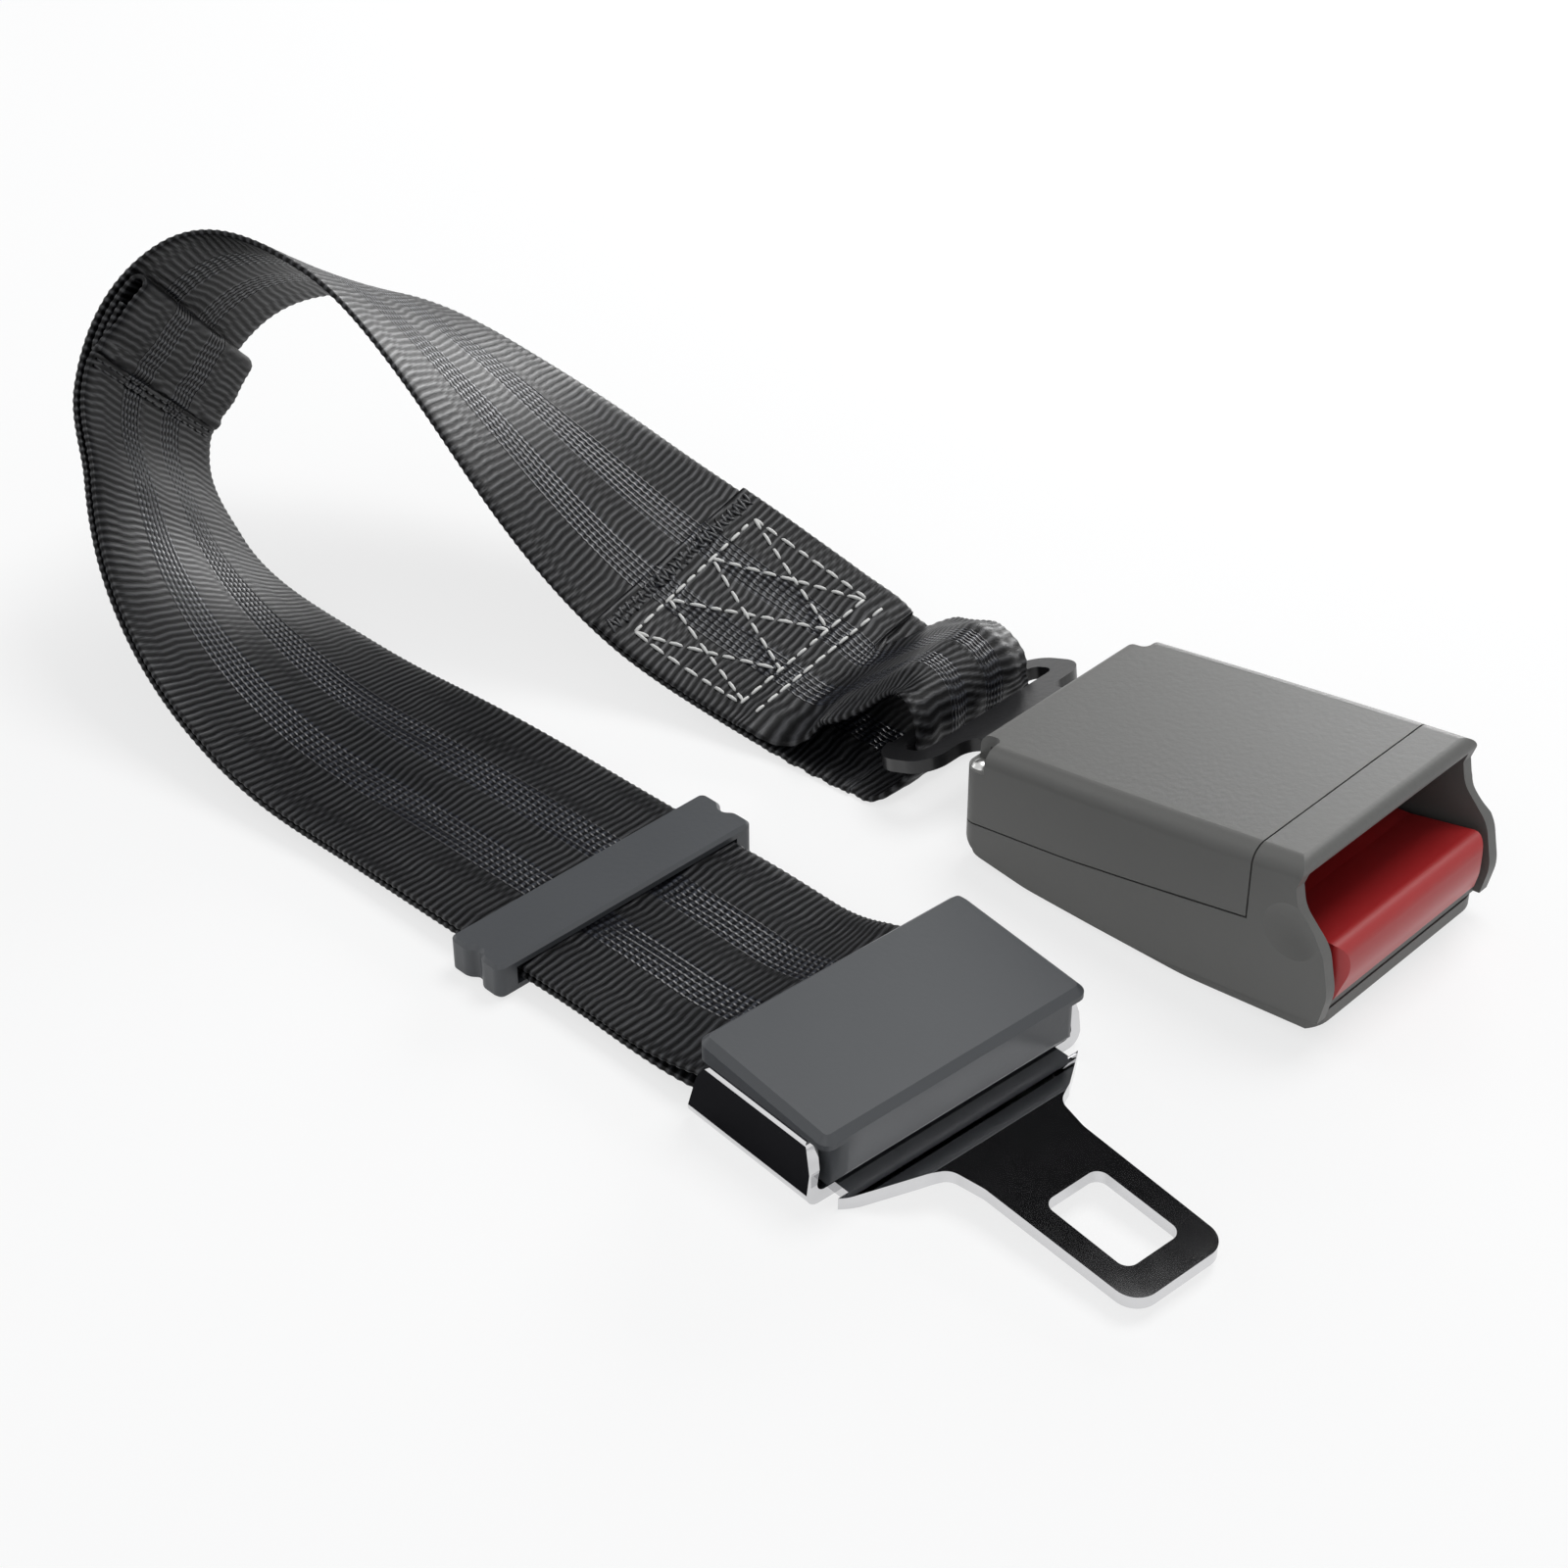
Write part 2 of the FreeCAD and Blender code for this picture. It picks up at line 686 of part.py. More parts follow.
def corner_rivets():
    """Two domed rivets that close the lid's rear corners, one node with two solids."""
    side_place = housing_rear_half_width - corner_rivet_place
    top = housing_rear_height - notch_depth
    foot = Vector(corner_rivet_place, side_place, top - corner_rivet_length)
    shank = rod(foot, UP, corner_rivet_radius, corner_rivet_length)
    dome_depth = corner_rivet_head / 2
    ball = (corner_rivet_head ** 2 + dome_depth ** 2) / (2 * dome_depth)
    dome = Part.makeSphere(ball, Vector(foot.x, foot.y, top + dome_depth - ball))
    dome = dome.common(rod(Vector(foot.x, foot.y, top), UP, corner_rivet_head + 1, corner_rivet_head))
    rivet = joined([shank, dome])
    return Part.makeCompound([rivet, mirrored(rivet)])


def housing_solid():
    """The whole housing as one filled form, before it is hollowed and split at its seams."""
    body = housing_envelope(0).common(under_top(0)).common(side(foot_profile(0), -40, 40))
    top_edges = []
    for edge in body.Edges:
        box = edge.BoundBox
        long_top = box.XLength > 40 and abs(box.ZMax - top_height(box.XMax)) < 0.05
        rear_top = box.XMax < 0.05 and abs(box.ZMin - top_height(0)) < 0.05 and box.YLength > 20
        if long_top or rear_top:
            top_edges.append(edge)
    return body.makeFillet(housing_top_radius, top_edges)


def buckle_lid():
    """The upper cover: top face, rear wall and side skirts down to the side seam."""
    solid = housing_solid()
    wall = housing_wall
    inside = housing_envelope(-wall).common(under_top(wall))
    shell = solid.common(above_seam(shut_line / 2)).cut(inside)
    shell = joined([shell, corner_posts()])
    shell = shell.cut(notched_corners()).cut(rear_port()).cut(corner_rivet_bores())
    bosses = []
    drop = housing_rear_height - mechanism_height
    for p in (frame_rear + 14.0, frame_front - 8.0):
        for v in (-frame_half_width + 3.0, frame_half_width - 3.0):
            along = (p - lid_boss, p + lid_boss)
            across = (v - lid_boss, v + lid_boss)
            bosses.append(leaning(block(along, across, (-frame_depth, drop - wall / 2))))
    return joined([shell] + bosses)


def rear_port():
    """The opening in the rear wall that the anchor plate's neck leaves through."""
    neck = anchor_neck_half_width + 0.6
    depth = frame_depth + frame_sheet
    slot = block((-8, 8), (-neck, neck), (-depth - anchor_sheet - 0.6, -depth + 0.4))
    return moved(slot, mechanism_placement())


def buckle_shell():
    """The main shell: lower side walls, and the hood and cheeks round the mouth."""
    solid = housing_solid()
    wall = housing_wall
    cheeks = side(front_profile(), -40, 40)
    hood_start = lid_length - hood_depth
    hood = side([
        (hood_start, hood_lip_height, 0), (hood_length - 1.8, hood_lip_height, 0.8),
        (hood_length, top_height(hood_length), 2.2), (hood_start, top_height(hood_start), 0),
    ], -40, 40)
    solid = solid.common(cheeks.fuse(hood))
    inside = housing_envelope(-wall).common(under_top(hood_thickness))
    shell = solid.cut(inside).cut(above_seam(-shut_line / 2))
    dimple = Part.makeSphere(12.0, Vector(lid_length + 8.5, -housing_half_width - 11.0, 20.0))
    shell = shell.cut(both_sides(dimple))
    inner = housing_half_width - wall / 2
    sill_low = base_height + shut_line
    sill_front = housing_length - 1.2
    sill = block((sill_front - sill_depth, sill_front), (-inner, inner), (sill_low, sill_height))
    return joined([shell.cut(rear_port()), sill])


def base_outline(inset):
    """The base's plan, drawn in from the housing's by the inset, with rounded front corners."""
    front = housing_length - inset
    wide = housing_half_width + 1.0
    return plan([(0, -wide, 0), (front, -wide, 6.0), (front, wide, 6.0), (0, wide, 0)], 0, 30)


def buckle_base():
    """The lower cover: a crowned dish that fits under the shell, with ribs that seat the springs."""
    wall = housing_wall
    rim_form = housing_envelope(-base_inset).common(base_outline(base_inset))
    rim_form = rim_form.cut(side(foot_profile(-shut_line), -40, 40))
    inside = base_outline(wall + running_clearance).common(housing_envelope(-wall - running_clearance))
    pan = inside.common(block((-5, 90), (-40, 40), (0, base_height - shut_line)))
    keel = [
        (-5, 5.6, 0), (3.0, 1.2, 6.0), (14.0, 0, 30.0), (housing_length - 26.0, 0, 60.0),
        (housing_length + 3.0, 2.6, 0), (housing_length + 3.0, 20, 0), (-5, 20, 0),
    ]
    dish = joined([pan, rim_form]).common(side(keel, -40, 40))
    hollow = base_outline(2 * wall).common(housing_envelope(-2 * wall))
    dish = dish.cut(hollow.common(block((-5, 90), (-40, 40), (base_floor, 20))))
    ribs = []
    for v in (-button_spring_offset, button_spring_offset):
        ribs.append(block(
            (button_spring_rear - 2.4, button_spring_rear),
            (v - spring_seat_half_width, v + spring_seat_half_width),
            (base_floor - 0.6, button_spring_height + button_spring_radius),
        ))
    post_foot = Vector(latch_spring_place, 0, base_floor - 0.6)
    post = rod(post_foot, UP, latch_spring_radius + 1.0, latch_post_height)
    return joined([dish, post] + ribs)


def leaning(shape):
    return moved(shape, mechanism_placement())


def anchor_plate():
    """The black plate: a wide rounded head with the webbing slot, and a neck riveted under the frame."""
    top = -(frame_depth + frame_sheet)
    head = anchor_head_half_width
    round_end = 6.4
    outline = [
        (anchor_head_rear, -head, round_end), (anchor_head_front, -head, round_end),
        (anchor_head_front, -anchor_neck_half_width, 3.0), (anchor_neck_front, -anchor_neck_half_width, 2.0),
        (anchor_neck_front, anchor_neck_half_width, 2.0), (anchor_head_front, anchor_neck_half_width, 3.0),
        (anchor_head_front, head, round_end), (anchor_head_rear, head, round_end),
    ]
    rear_top = anchor_top(anchor_head_rear)
    bent = side([
        (anchor_head_rear, rear_top - anchor_sheet, 0), (anchor_bend_place, top - anchor_sheet, 6.0),
        (anchor_neck_front, top - anchor_sheet, 0), (anchor_neck_front, top, 0), (anchor_bend_place, top, 6.0),
        (anchor_head_rear, rear_top, 0),
    ], -head - 1, head + 1)
    plate = bent.common(plan(outline, rear_top - anchor_sheet - 1, top + 1))
    slot_rear = anchor_head_rear + anchor_bar
    slot_half = anchor_slot_half_width
    slot = [
        (slot_rear, -slot_half, 2.0), (slot_rear + anchor_slot, -slot_half, 2.0),
        (slot_rear + anchor_slot, slot_half, 2.0), (slot_rear, slot_half, 2.0),
    ]
    low = rear_top - anchor_sheet - 1
    plate = plate.cut(plan(slot, low, top + 1))
    bar_half = slot_half - 2.0
    bar_round = anchor_sheet / 2 - 0.02
    plate = plate.cut(block((anchor_head_rear - 1, slot_rear + 0.1), (-bar_half, bar_half), (low, top + 1)))
    slot_top = anchor_top(slot_rear)
    bar = side([
        (anchor_head_rear, rear_top - anchor_sheet, bar_round), (slot_rear, slot_top - anchor_sheet, bar_round),
        (slot_rear, slot_top, bar_round), (anchor_head_rear, rear_top, bar_round),
    ], -bar_half, bar_half)
    return leaning(plate.cut(rivet_holes()).fuse(bar))


def rivet_centres():
    return [Vector(rivet_place, s * rivet_spacing / 2, 0) for s in (-1, 1)]


def rivet_holes():
    holes = [rod(c + Vector(0, 0, -30), UP, rivet_radius, 60) for c in rivet_centres()]
    return holes[0].fuse(holes[1])


def frame_rivets():
    """Two rivets through the frame and the anchor plate, one node with two solids."""
    high = -frame_depth
    low = high - frame_sheet - anchor_sheet
    rivets = []
    for c in rivet_centres():
        shank = rod(Vector(c.x, c.y, low), UP, rivet_radius, high - low)
        upper = rod(Vector(c.x, c.y, high), UP, rivet_head_radius, rivet_head)
        rivets.append(leaning(joined([shank, upper])))
    return Part.makeCompound(rivets)


def buckle_frame():
    """The steel channel: base plate under the lid, two walls that guide the blade and carry the latch pin."""
    high = -frame_depth
    low = high - frame_sheet
    half = frame_half_width
    base = plan([
        (frame_rear, -half, 2.0), (frame_front, -half, 2.0), (frame_front, half, 2.0), (frame_rear, half, 2.0),
    ], low, high)
    walls = []
    for s in (-1, 1):
        foot = low - frame_wall_height
        outline = [
            (frame_wall_rear, high, 0), (frame_wall_front, high, 0), (frame_wall_front, low - 3.0, 1.0),
            (frame_wall_front - frame_wall_slope, foot, 2.0), (frame_wall_rear, foot, 2.0),
        ]
        left = s * half if s < 0 else half - frame_sheet
        walls.append(side(outline, left, left + frame_sheet))
    frame = joined([base] + walls)
    pin_start = Vector(pin_place, -half - 1, -pin_depth)
    frame = frame.cut(rod(pin_start, Vector(0, 1, 0), pin_radius + pin_fit, 2 * half + 2))
    frame = frame.cut(rivet_holes())
    tooth_hole = latch_tooth_half_width + 0.8
    tooth_rear = pin_place + latch_reach - latch_tooth_length - 1.0
    tooth_front = tooth_rear + latch_tooth_length + 2.4
    frame = frame.cut(block((tooth_rear, tooth_front), (-tooth_hole, tooth_hole), (low - 1, high + 1)))
    return leaning(frame)


def latch_pin():
    """The pivot pin across the frame's walls, with a flat head at one end."""
    half = frame_half_width
    shank = rod(Vector(pin_place, -half, -pin_depth), Vector(0, 1, 0), pin_radius, 2 * half + 0.8)
    head = rod(Vector(pin_place, -half - 1.0, -pin_depth), Vector(0, 1, 0), pin_radius + 0.9, 1.0)
    return leaning(joined([shank, head]))


def latch_plate():
    """The lever that catches the blade: an eye round the pin, a flat arm and an upturned tooth."""
    tooth_front = pin_place + latch_reach
    arm_low = -pin_depth - latch_sheet / 2
    tooth_top = -(frame_depth + frame_sheet) - 0.4
    outline = [
        (pin_place - 2.4, arm_low - 1.0, 1.2), (pin_place + 3.0, arm_low - 1.0, 1.0),
        (pin_place + 5.0, arm_low, 1.0), (tooth_front, arm_low, 0.8), (tooth_front, tooth_top - 1.2, 0),
        (tooth_front - 1.2, tooth_top, 0), (tooth_front - latch_tooth_length, tooth_top, 0.4),
        (tooth_front - latch_tooth_length, arm_low + latch_sheet, 0.6),
        (pin_place + 3.0, arm_low + latch_sheet, 1.0), (pin_place + 1.8, -pin_depth + 2.6, 1.0),
        (pin_place - 2.4, -pin_depth + 2.6, 1.6),
    ]
    lever = side(outline, -latch_half_width, latch_half_width)
    ears = block(
        (tooth_front - latch_ear_length, tooth_front), (-latch_ear_half_width, latch_ear_half_width),
        (arm_low, arm_low + latch_sheet),
    )
    trim = block(
        (tooth_front - latch_tooth_length - 2, tooth_front + 2), (latch_tooth_half_width, 30),
        (arm_low + latch_sheet, 0),
    )
    lever = lever.cut(both_sides(trim)).fuse(ears)
    lever = lever.cut(rod(Vector(pin_place, -30, -pin_depth), Vector(0, 1, 0), pin_radius + pin_fit, 60))
    return leaning(lever)


def ejector():
    """The plastic slide that pushes the blade out, with two bores for its springs."""
    top = -(frame_depth + frame_sheet) - running_clearance
    rear = ejector_front - ejector_length
    body = plan([
        (rear, -ejector_half_width, 1.0), (ejector_front, -ejector_half_width, 1.0),
        (ejector_front, ejector_half_width, 1.0), (rear, ejector_half_width, 1.0),
    ], top - 4.0 + running_clearance, top)
    for s in (-1, 1):
        start = Vector(rear - 1, s * ejector_half_width / 2, top - 1.85)
        body = body.cut(rod(start, Vector(1, 0, 0), ejector_bore, ejector_length - 1))
    return leaning(body)


def ejector_springs():
    """Two springs between the anchor plate's front end and the ejector."""
    top = -(frame_depth + frame_sheet) - running_clearance
    rear = ejector_front - ejector_length
    end = rear + ejector_length - 2.3
    springs = []
    for s in (-1, 1):
        start = Vector(anchor_neck_front + 0.3, s * ejector_half_width / 2, top - 1.85)
        springs.append(leaning(rod(start, Vector(1, 0, 0), ejector_spring_radius, end - start.x)))
    return Part.makeCompound(springs)


def release_button():
    """The red button: a crowned block that fills the mouth, with two arms whose ramps push the latch down."""
    nose = housing_length + 1.6
    outline = [
        (button_rear, button_bottom, 1.0), (button_step, button_bottom, 0), (button_step, button_foot, 0),
        (nose - 2.0, button_foot, 2.0), (nose, button_bottom + 8.0, 12.0),
        (nose - 1.2, 18.6, 4.5), (button_rear + 6.0, 15.4, 2.0), (button_rear, 15.0, 1.0),
    ]
    body = side(outline, -button_half_width, button_half_width)
    plan_outline = [
        (button_rear, -button_half_width, 1.0), (nose + 0.2, -button_half_width - 0.2, 4.0),
        (nose + 0.2, button_half_width + 0.2, 4.0), (button_rear, button_half_width, 1.0),
    ]
    body = body.common(plan(plan_outline, 0, 40))
    arm = side([
        (39.5, 17.2, 0.4), (44.6, 16.9, 1.0), (49.4, 13.6, 1.0), (button_rear + 2.0, 13.6, 0),
        (button_rear + 3.0, 18.6, 1.0), (39.5, 18.2, 0.4),
    ], button_arm_inner, button_arm_inner + button_arm_width)
    arms = [arm, mirrored(arm)]
    body = joined([body] + arms)
    for v in (-button_spring_offset, button_spring_offset):
        start = Vector(button_rear - 1, v, button_spring_height)
        body = body.cut(rod(start, Vector(1, 0, 0), button_spring_radius + 0.4, button_pocket + 1))
    return body


def button_springs():
    """Two return springs between the base's ribs and the pockets in the button."""
    springs = []
    for v in (-button_spring_offset, button_spring_offset):
        start = Vector(button_spring_rear, v, button_spring_height)
        length = button_rear + button_pocket - 0.1 - start.x
        springs.append(rod(start, Vector(1, 0, 0), button_spring_radius, length))
    return Part.makeCompound(springs)


def latch_spring():
    """The spring that holds the latch up, standing on the base's post."""
    low = base_floor - 0.6 + latch_post_height
    arm_depth = pin_depth + latch_sheet / 2 + running_clearance
    high = mechanism_top(latch_spring_place - latch_spring_radius) - arm_depth
    return rod(Vector(latch_spring_place, 0, low), UP, latch_spring_radius, high - low)


def in_buckle(shape):
    return moved(shape, buckle_placement())


def build():
    parts = {
        "webbing_main": webbing_main(),
        "webbing_free_end": webbing_free_end(),
        "webbing_eye": webbing_eye(),
        "webbing_keeper": webbing_keeper(),
        "tongue_plate": tongue_plate(),
        "adjuster_bar": adjuster_bar(),
        "adjuster_cover": adjuster_cover(),
    }
    inside_buckle = [
        anchor_plate, frame_rivets, buckle_frame, latch_pin, latch_plate, latch_spring, ejector,
        ejector_springs, release_button, button_springs, buckle_lid, corner_rivets, buckle_shell, buckle_base,
    ]
    for make in inside_buckle:
        parts[make.__name__] = in_buckle(make())
    return parts


def main():
    os.makedirs("parts", exist_ok=True)
    parts = build()
    box = FreeCAD.BoundBox()
    for shape in parts.values():
        box.add(shape.optimalBoundingBox(True, False))
    to_origin = Vector(-box.Center.x, -box.Center.y, -box.ZMin)
    print("shift", round(to_origin.x, 3), round(to_origin.y, 3), round(to_origin.z, 3))
    print("size", round(box.XLength, 2), round(box.YLength, 2), round(box.ZLength, 2))
    for name, shape in parts.items():
        placed = moved(shape, FreeCAD.Placement(to_origin, FreeCAD.Rotation()))
        placed.exportStep(os.path.join("parts", name + ".step"))
        print(name, placed.isValid(), len(placed.Solids), round(placed.Volume, 1), len(placed.Faces))


main()
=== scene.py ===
import json
import math

import bpy
import numpy as np
from mathutils import Matrix, Vector

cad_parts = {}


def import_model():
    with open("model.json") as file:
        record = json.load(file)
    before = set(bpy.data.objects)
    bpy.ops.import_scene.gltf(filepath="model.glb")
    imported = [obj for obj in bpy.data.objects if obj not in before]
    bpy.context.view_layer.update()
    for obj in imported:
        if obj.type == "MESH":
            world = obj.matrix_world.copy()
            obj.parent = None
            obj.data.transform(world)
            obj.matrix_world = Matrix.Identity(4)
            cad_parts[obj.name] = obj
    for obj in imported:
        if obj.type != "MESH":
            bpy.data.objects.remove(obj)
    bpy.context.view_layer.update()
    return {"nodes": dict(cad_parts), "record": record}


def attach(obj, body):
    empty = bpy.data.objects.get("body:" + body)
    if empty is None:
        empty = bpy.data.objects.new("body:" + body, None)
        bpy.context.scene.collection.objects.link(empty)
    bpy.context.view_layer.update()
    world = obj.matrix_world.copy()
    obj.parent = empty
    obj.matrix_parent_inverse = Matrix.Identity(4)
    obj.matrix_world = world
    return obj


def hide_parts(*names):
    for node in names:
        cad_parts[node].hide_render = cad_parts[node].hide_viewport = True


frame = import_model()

NODES = frame["nodes"]

# Lengths are in millimetres in the solved camera's space, and SHIFT takes them to the row frame
SHIFT = np.array([488.312, -33.339, 0.0])


def to_row(points):
    return (np.asarray(points, float) + SHIFT) / 1000.0


def unit(v):
    v = np.asarray(v, float)
    return v / np.maximum(np.linalg.norm(v, axis=-1, keepdims=True), 1e-12)


def ramp(x, start, end):
    """A smooth step from 0 at the start to 1 at the end, which may lie below the start."""
    x = np.clip((x - start) / (end - start), 0.0, 1.0)
    return x * x * (3 - 2 * x)


def arc_lengths(points):
    """Length along a row of points, starting at 0."""
    return np.concatenate([[0.0], np.cumsum(np.linalg.norm(np.diff(points, axis=0), axis=1))])


def cubic(marks, rows):
    """A natural cubic spline through the rows at the marks. Returns a function that gives (value, slope)."""
    marks = np.asarray(marks, float)
    rows = np.asarray(rows, float)
    count = len(marks)
    span = np.diff(marks)
    system = np.zeros((count, count))
    jump = np.zeros_like(rows)
    system[0, 0] = system[-1, -1] = 1.0
    for k in range(1, count - 1):
        system[k, k - 1 : k + 2] = span[k - 1], 2 * (span[k - 1] + span[k]), span[k]
        jump[k] = 6 * ((rows[k + 1] - rows[k]) / span[k] - (rows[k] - rows[k - 1]) / span[k - 1])
    bend = np.linalg.solve(system, jump)

    def at(places):
        places = np.asarray(places, float)
        k = np.clip(np.searchsorted(marks, places) - 1, 0, count - 2)
        width = span[k][:, None]
        left, right = (marks[k + 1] - places)[:, None], (places - marks[k])[:, None]
        before = rows[k] / width - bend[k] * width / 6
        after = rows[k + 1] / width - bend[k + 1] * width / 6
        value = bend[k] * left**3 / (6 * width) + bend[k + 1] * right**3 / (6 * width)
        value = value + before * left + after * right
        slope = -bend[k] * left**2 / (2 * width) + bend[k + 1] * right**2 / (2 * width) - before + after
        return value, slope

    return at


def build_mesh(name, points, faces, uv=None, smooth=True):
    """A mesh object from row-frame points in metres. uv holds one pair per face corner."""
    data = bpy.data.meshes.new(name)
    data.from_pydata([tuple(p) for p in points], [], faces)
    if uv is not None:
        layer = data.uv_layers.new(name="UVMap")
        layer.data.foreach_set("uv", np.asarray(uv, np.float32).ravel())
    data.polygons.foreach_set("use_smooth", [smooth] * len(data.polygons))
    data.update()
    made = bpy.data.objects.new(name, data)
    bpy.context.scene.collection.objects.link(made)
    return made


# Webbing sizes. PITCH is the distance between the middles of two layers that lie on each other

HALF = 24.0
CLOTH = 1.2
PITCH = 1.5
WIDTH = 2 * HALF
EDGE = CLOTH / 2

# Webbing route, from the adjuster bar over the loop to the anchor plate. It starts over the bar, turns
# round it and runs back below it, then straight along the table, and LOOP holds the rest as
# (centre, direction across the strap)

BAR_REAR, BAR_FRONT = -408.0, -400.0
UNDER_BAR, OVER_BAR = 3.3, 8.3
RUN_FRONT = np.array([-430.0, -2.3, 2.9])
RUN_YAW = math.radians(5.0)
RUN = np.array([-math.cos(RUN_YAW), -math.sin(RUN_YAW), 0.0])
RUN_ACROSS = np.array([-math.sin(RUN_YAW), math.cos(RUN_YAW), 0.0])
RUN_LENGTH = 88.0
RUN_PLACES = 5
LOOP = [
    ((-534.0, -12.2, 3.6), (-0.06, 0.99, -0.03)), ((-551.5, -13.4, 5.1), (-0.05, 0.99, -0.14)),
    ((-569.2, -13.6, 8.4), (-0.07, 0.95, -0.30)), ((-586.0, -12.8, 13.8), (-0.12, 0.86, -0.50)),
    ((-601.4, -9.8, 21.7), (-0.21, 0.73, -0.65)), ((-613.8, -3.2, 32.8), (-0.28, 0.65, -0.70)),
    ((-619.6, 8.2, 45.6), (-0.33, 0.62, -0.71)), ((-615.0, 21.9, 55.2), (-0.41, 0.62, -0.67)),
    ((-601.3, 32.8, 56.9), (-0.49, 0.69, -0.54)), ((-586.0, 39.6, 51.2), (-0.48, 0.78, -0.39)),
    ((-571.2, 44.4, 42.2), (-0.43, 0.87, -0.25)), ((-556.8, 48.8, 32.2), (-0.35, 0.93, -0.09)),
    ((-542.4, 53.3, 22.4), (-0.28, 0.96, 0.05)), ((-527.0, 58.2, 14.0), (-0.24, 0.96, 0.15)),
    ((-510.5, 63.0, 7.7), (-0.23, 0.96, 0.13)), ((-494.0, 66.6, 3.4), (-0.19, 0.98, 0.06)),
    ((-482.0, 68.8, 1.4), (-0.14, 0.99, 0.01)), ((-474.0, 70.0, 0.8), (-0.10, 0.99, 0.0)),
]


def rails(places):
    """Spline through (centre, reach) places by chord length. Returns at(marks) and the whole length.

    at gives the centre, the direction across the strap, the face's normal and the half width.
    """
    centres = np.array([centre for centre, reach in places], float)
    reaches = np.array([reach for centre, reach in places], float)
    marks = arc_lengths(centres)
    middle = cubic(marks, centres)
    edge = cubic(marks, centres + reaches)

    def at(spots):
        centre, forward = middle(spots)
        forward = unit(forward)
        reach = edge(spots)[0] - centre
        out = unit(np.cross(reach, forward))
        level = unit(np.cross(forward, out))
        return centre, level, out, np.linalg.norm(reach, axis=1)

    return at, marks[-1]


route = [
    ((BAR_REAR - 6.0, -0.5, UNDER_BAR), (-0.02, 1, 0)),
    ((-422.5, -0.9, UNDER_BAR - 0.1), (-0.05, 1, 0)),
]
route += [(RUN_FRONT + RUN * RUN_LENGTH * k / (RUN_PLACES - 1), RUN_ACROSS) for k in range(RUN_PLACES)]
route += LOOP
load_at, LOAD = rails([(np.array(centre, float), np.array(across, float) * HALF) for centre, across in route])

# Weave: cross ribs as real relief, with stations along the strap and columns across it

RIB_PITCH = 1.5
RIB_HEIGHT = 0.17
STATION = RIB_PITCH / 4
SHARE = np.linspace(-1, 1, 25)
# How the ribs waver: share of a pitch, then turns in radians per mm across, per mm along and at the start
RIB_DRIFT = ((0.30, 0.21, 0.043, 0.0), (0.16, 0.52, -0.087, 1.3), (0.10, 0.95, 0.171, 0.4))


def rib_wave(along, u):
    """0 in the grooves to 1 on the crests of the weave's cross ribs, which waver a little."""
    drift = sum(size * np.sin(across * u + down * along + start) for size, across, down, start in RIB_DRIFT)
    return 0.5 + 0.5 * np.cos(2 * math.pi * (along / RIB_PITCH + drift))


def strap(name, centre, level, out, across=None, rise=None):
    """A strap of webbing along the stations. across and rise give its cross-section's middle line, in mm."""
    count = len(centre)
    columns = len(SHARE)
    if across is None:
        across = np.tile(SHARE * (HALF - EDGE), (count, 1))
    if rise is None:
        rise = np.zeros_like(across)
    along = arc_lengths(centre)
    u = (SHARE + 1) / 2 * (WIDTH - CLOTH) + EDGE
    rib = rib_wave(along[:, None], u[None, :])
    body = EDGE - RIB_HEIGHT * (1 - rib)
    step_across = np.gradient(across, axis=1)
    step_rise = np.gradient(rise, axis=1)
    step = np.sqrt(step_across**2 + step_rise**2)
    tangent_across, tangent_rise = step_across / step, step_rise / step
    ring_across, ring_rise, ring_u, ring_rib = [], [], [], []

    def point(k, angle):
        c, s = math.cos(math.radians(angle)), math.sin(math.radians(angle))
        ring_across.append(across[:, k] + body[:, k] * (tangent_across[:, k] * c - tangent_rise[:, k] * s))
        ring_rise.append(rise[:, k] + body[:, k] * (tangent_rise[:, k] * c + tangent_across[:, k] * s))
        ring_u.append(u[k] + EDGE * c)
        ring_rib.append(rib[:, k])

    # The ring goes over the top face, round one edge, back over the lower face and round the other edge
    for k in range(columns):
        point(k, 90)
    for angle in (50, 0, -50):
        point(columns - 1, angle)
    for k in range(columns - 1, -1, -1):
        point(k, -90)
    for angle in (-130, 180, 130):
        point(0, angle)
    side, height = np.array(ring_across).T[:, :, None], np.array(ring_rise).T[:, :, None]
    rings = centre[:, None, :] + side * level[:, None, :] + height * out[:, None, :]

    around = rings.shape[1]
    i, j = np.meshgrid(np.arange(count - 1), np.arange(around), indexing="ij")
    i, j = i.ravel(), j.ravel()
    beside = (j + 1) % around
    quads = [i * around + j, (i + 1) * around + j, (i + 1) * around + beside, i * around + beside]
    faces = np.stack(quads, 1).tolist()
    ru = np.array(ring_u + ring_u[:1]) / WIDTH
    rv = along / WIDTH
    corners = [ru[j], rv[i], ru[j], rv[i + 1], ru[j + 1], rv[i + 1], ru[j + 1], rv[i]]
    uv = np.stack(corners, 1).reshape(-1, 2).tolist()
    for end, order in ((0, range(around)), (count - 1, range(around - 1, -1, -1))):
        faces.append([end * around + q for q in order])
        uv += [(ru[q], rv[end]) for q in order]
    made = build_mesh(name, to_row(rings.reshape(-1, 3)), faces, uv)
    # The rib wave also drives the webbing's colour, which paints shade into the grooves and light onto the
    # crests
    layer = made.data.attributes.new("rib", "FLOAT", "POINT")
    layer.data.foreach_set("value", np.array(ring_rib, np.float32).T.ravel())
    made["length_mm"] = float(along[-1])
    return made


# Hem: marks along the load run, and how far the layers of its pouch stand off

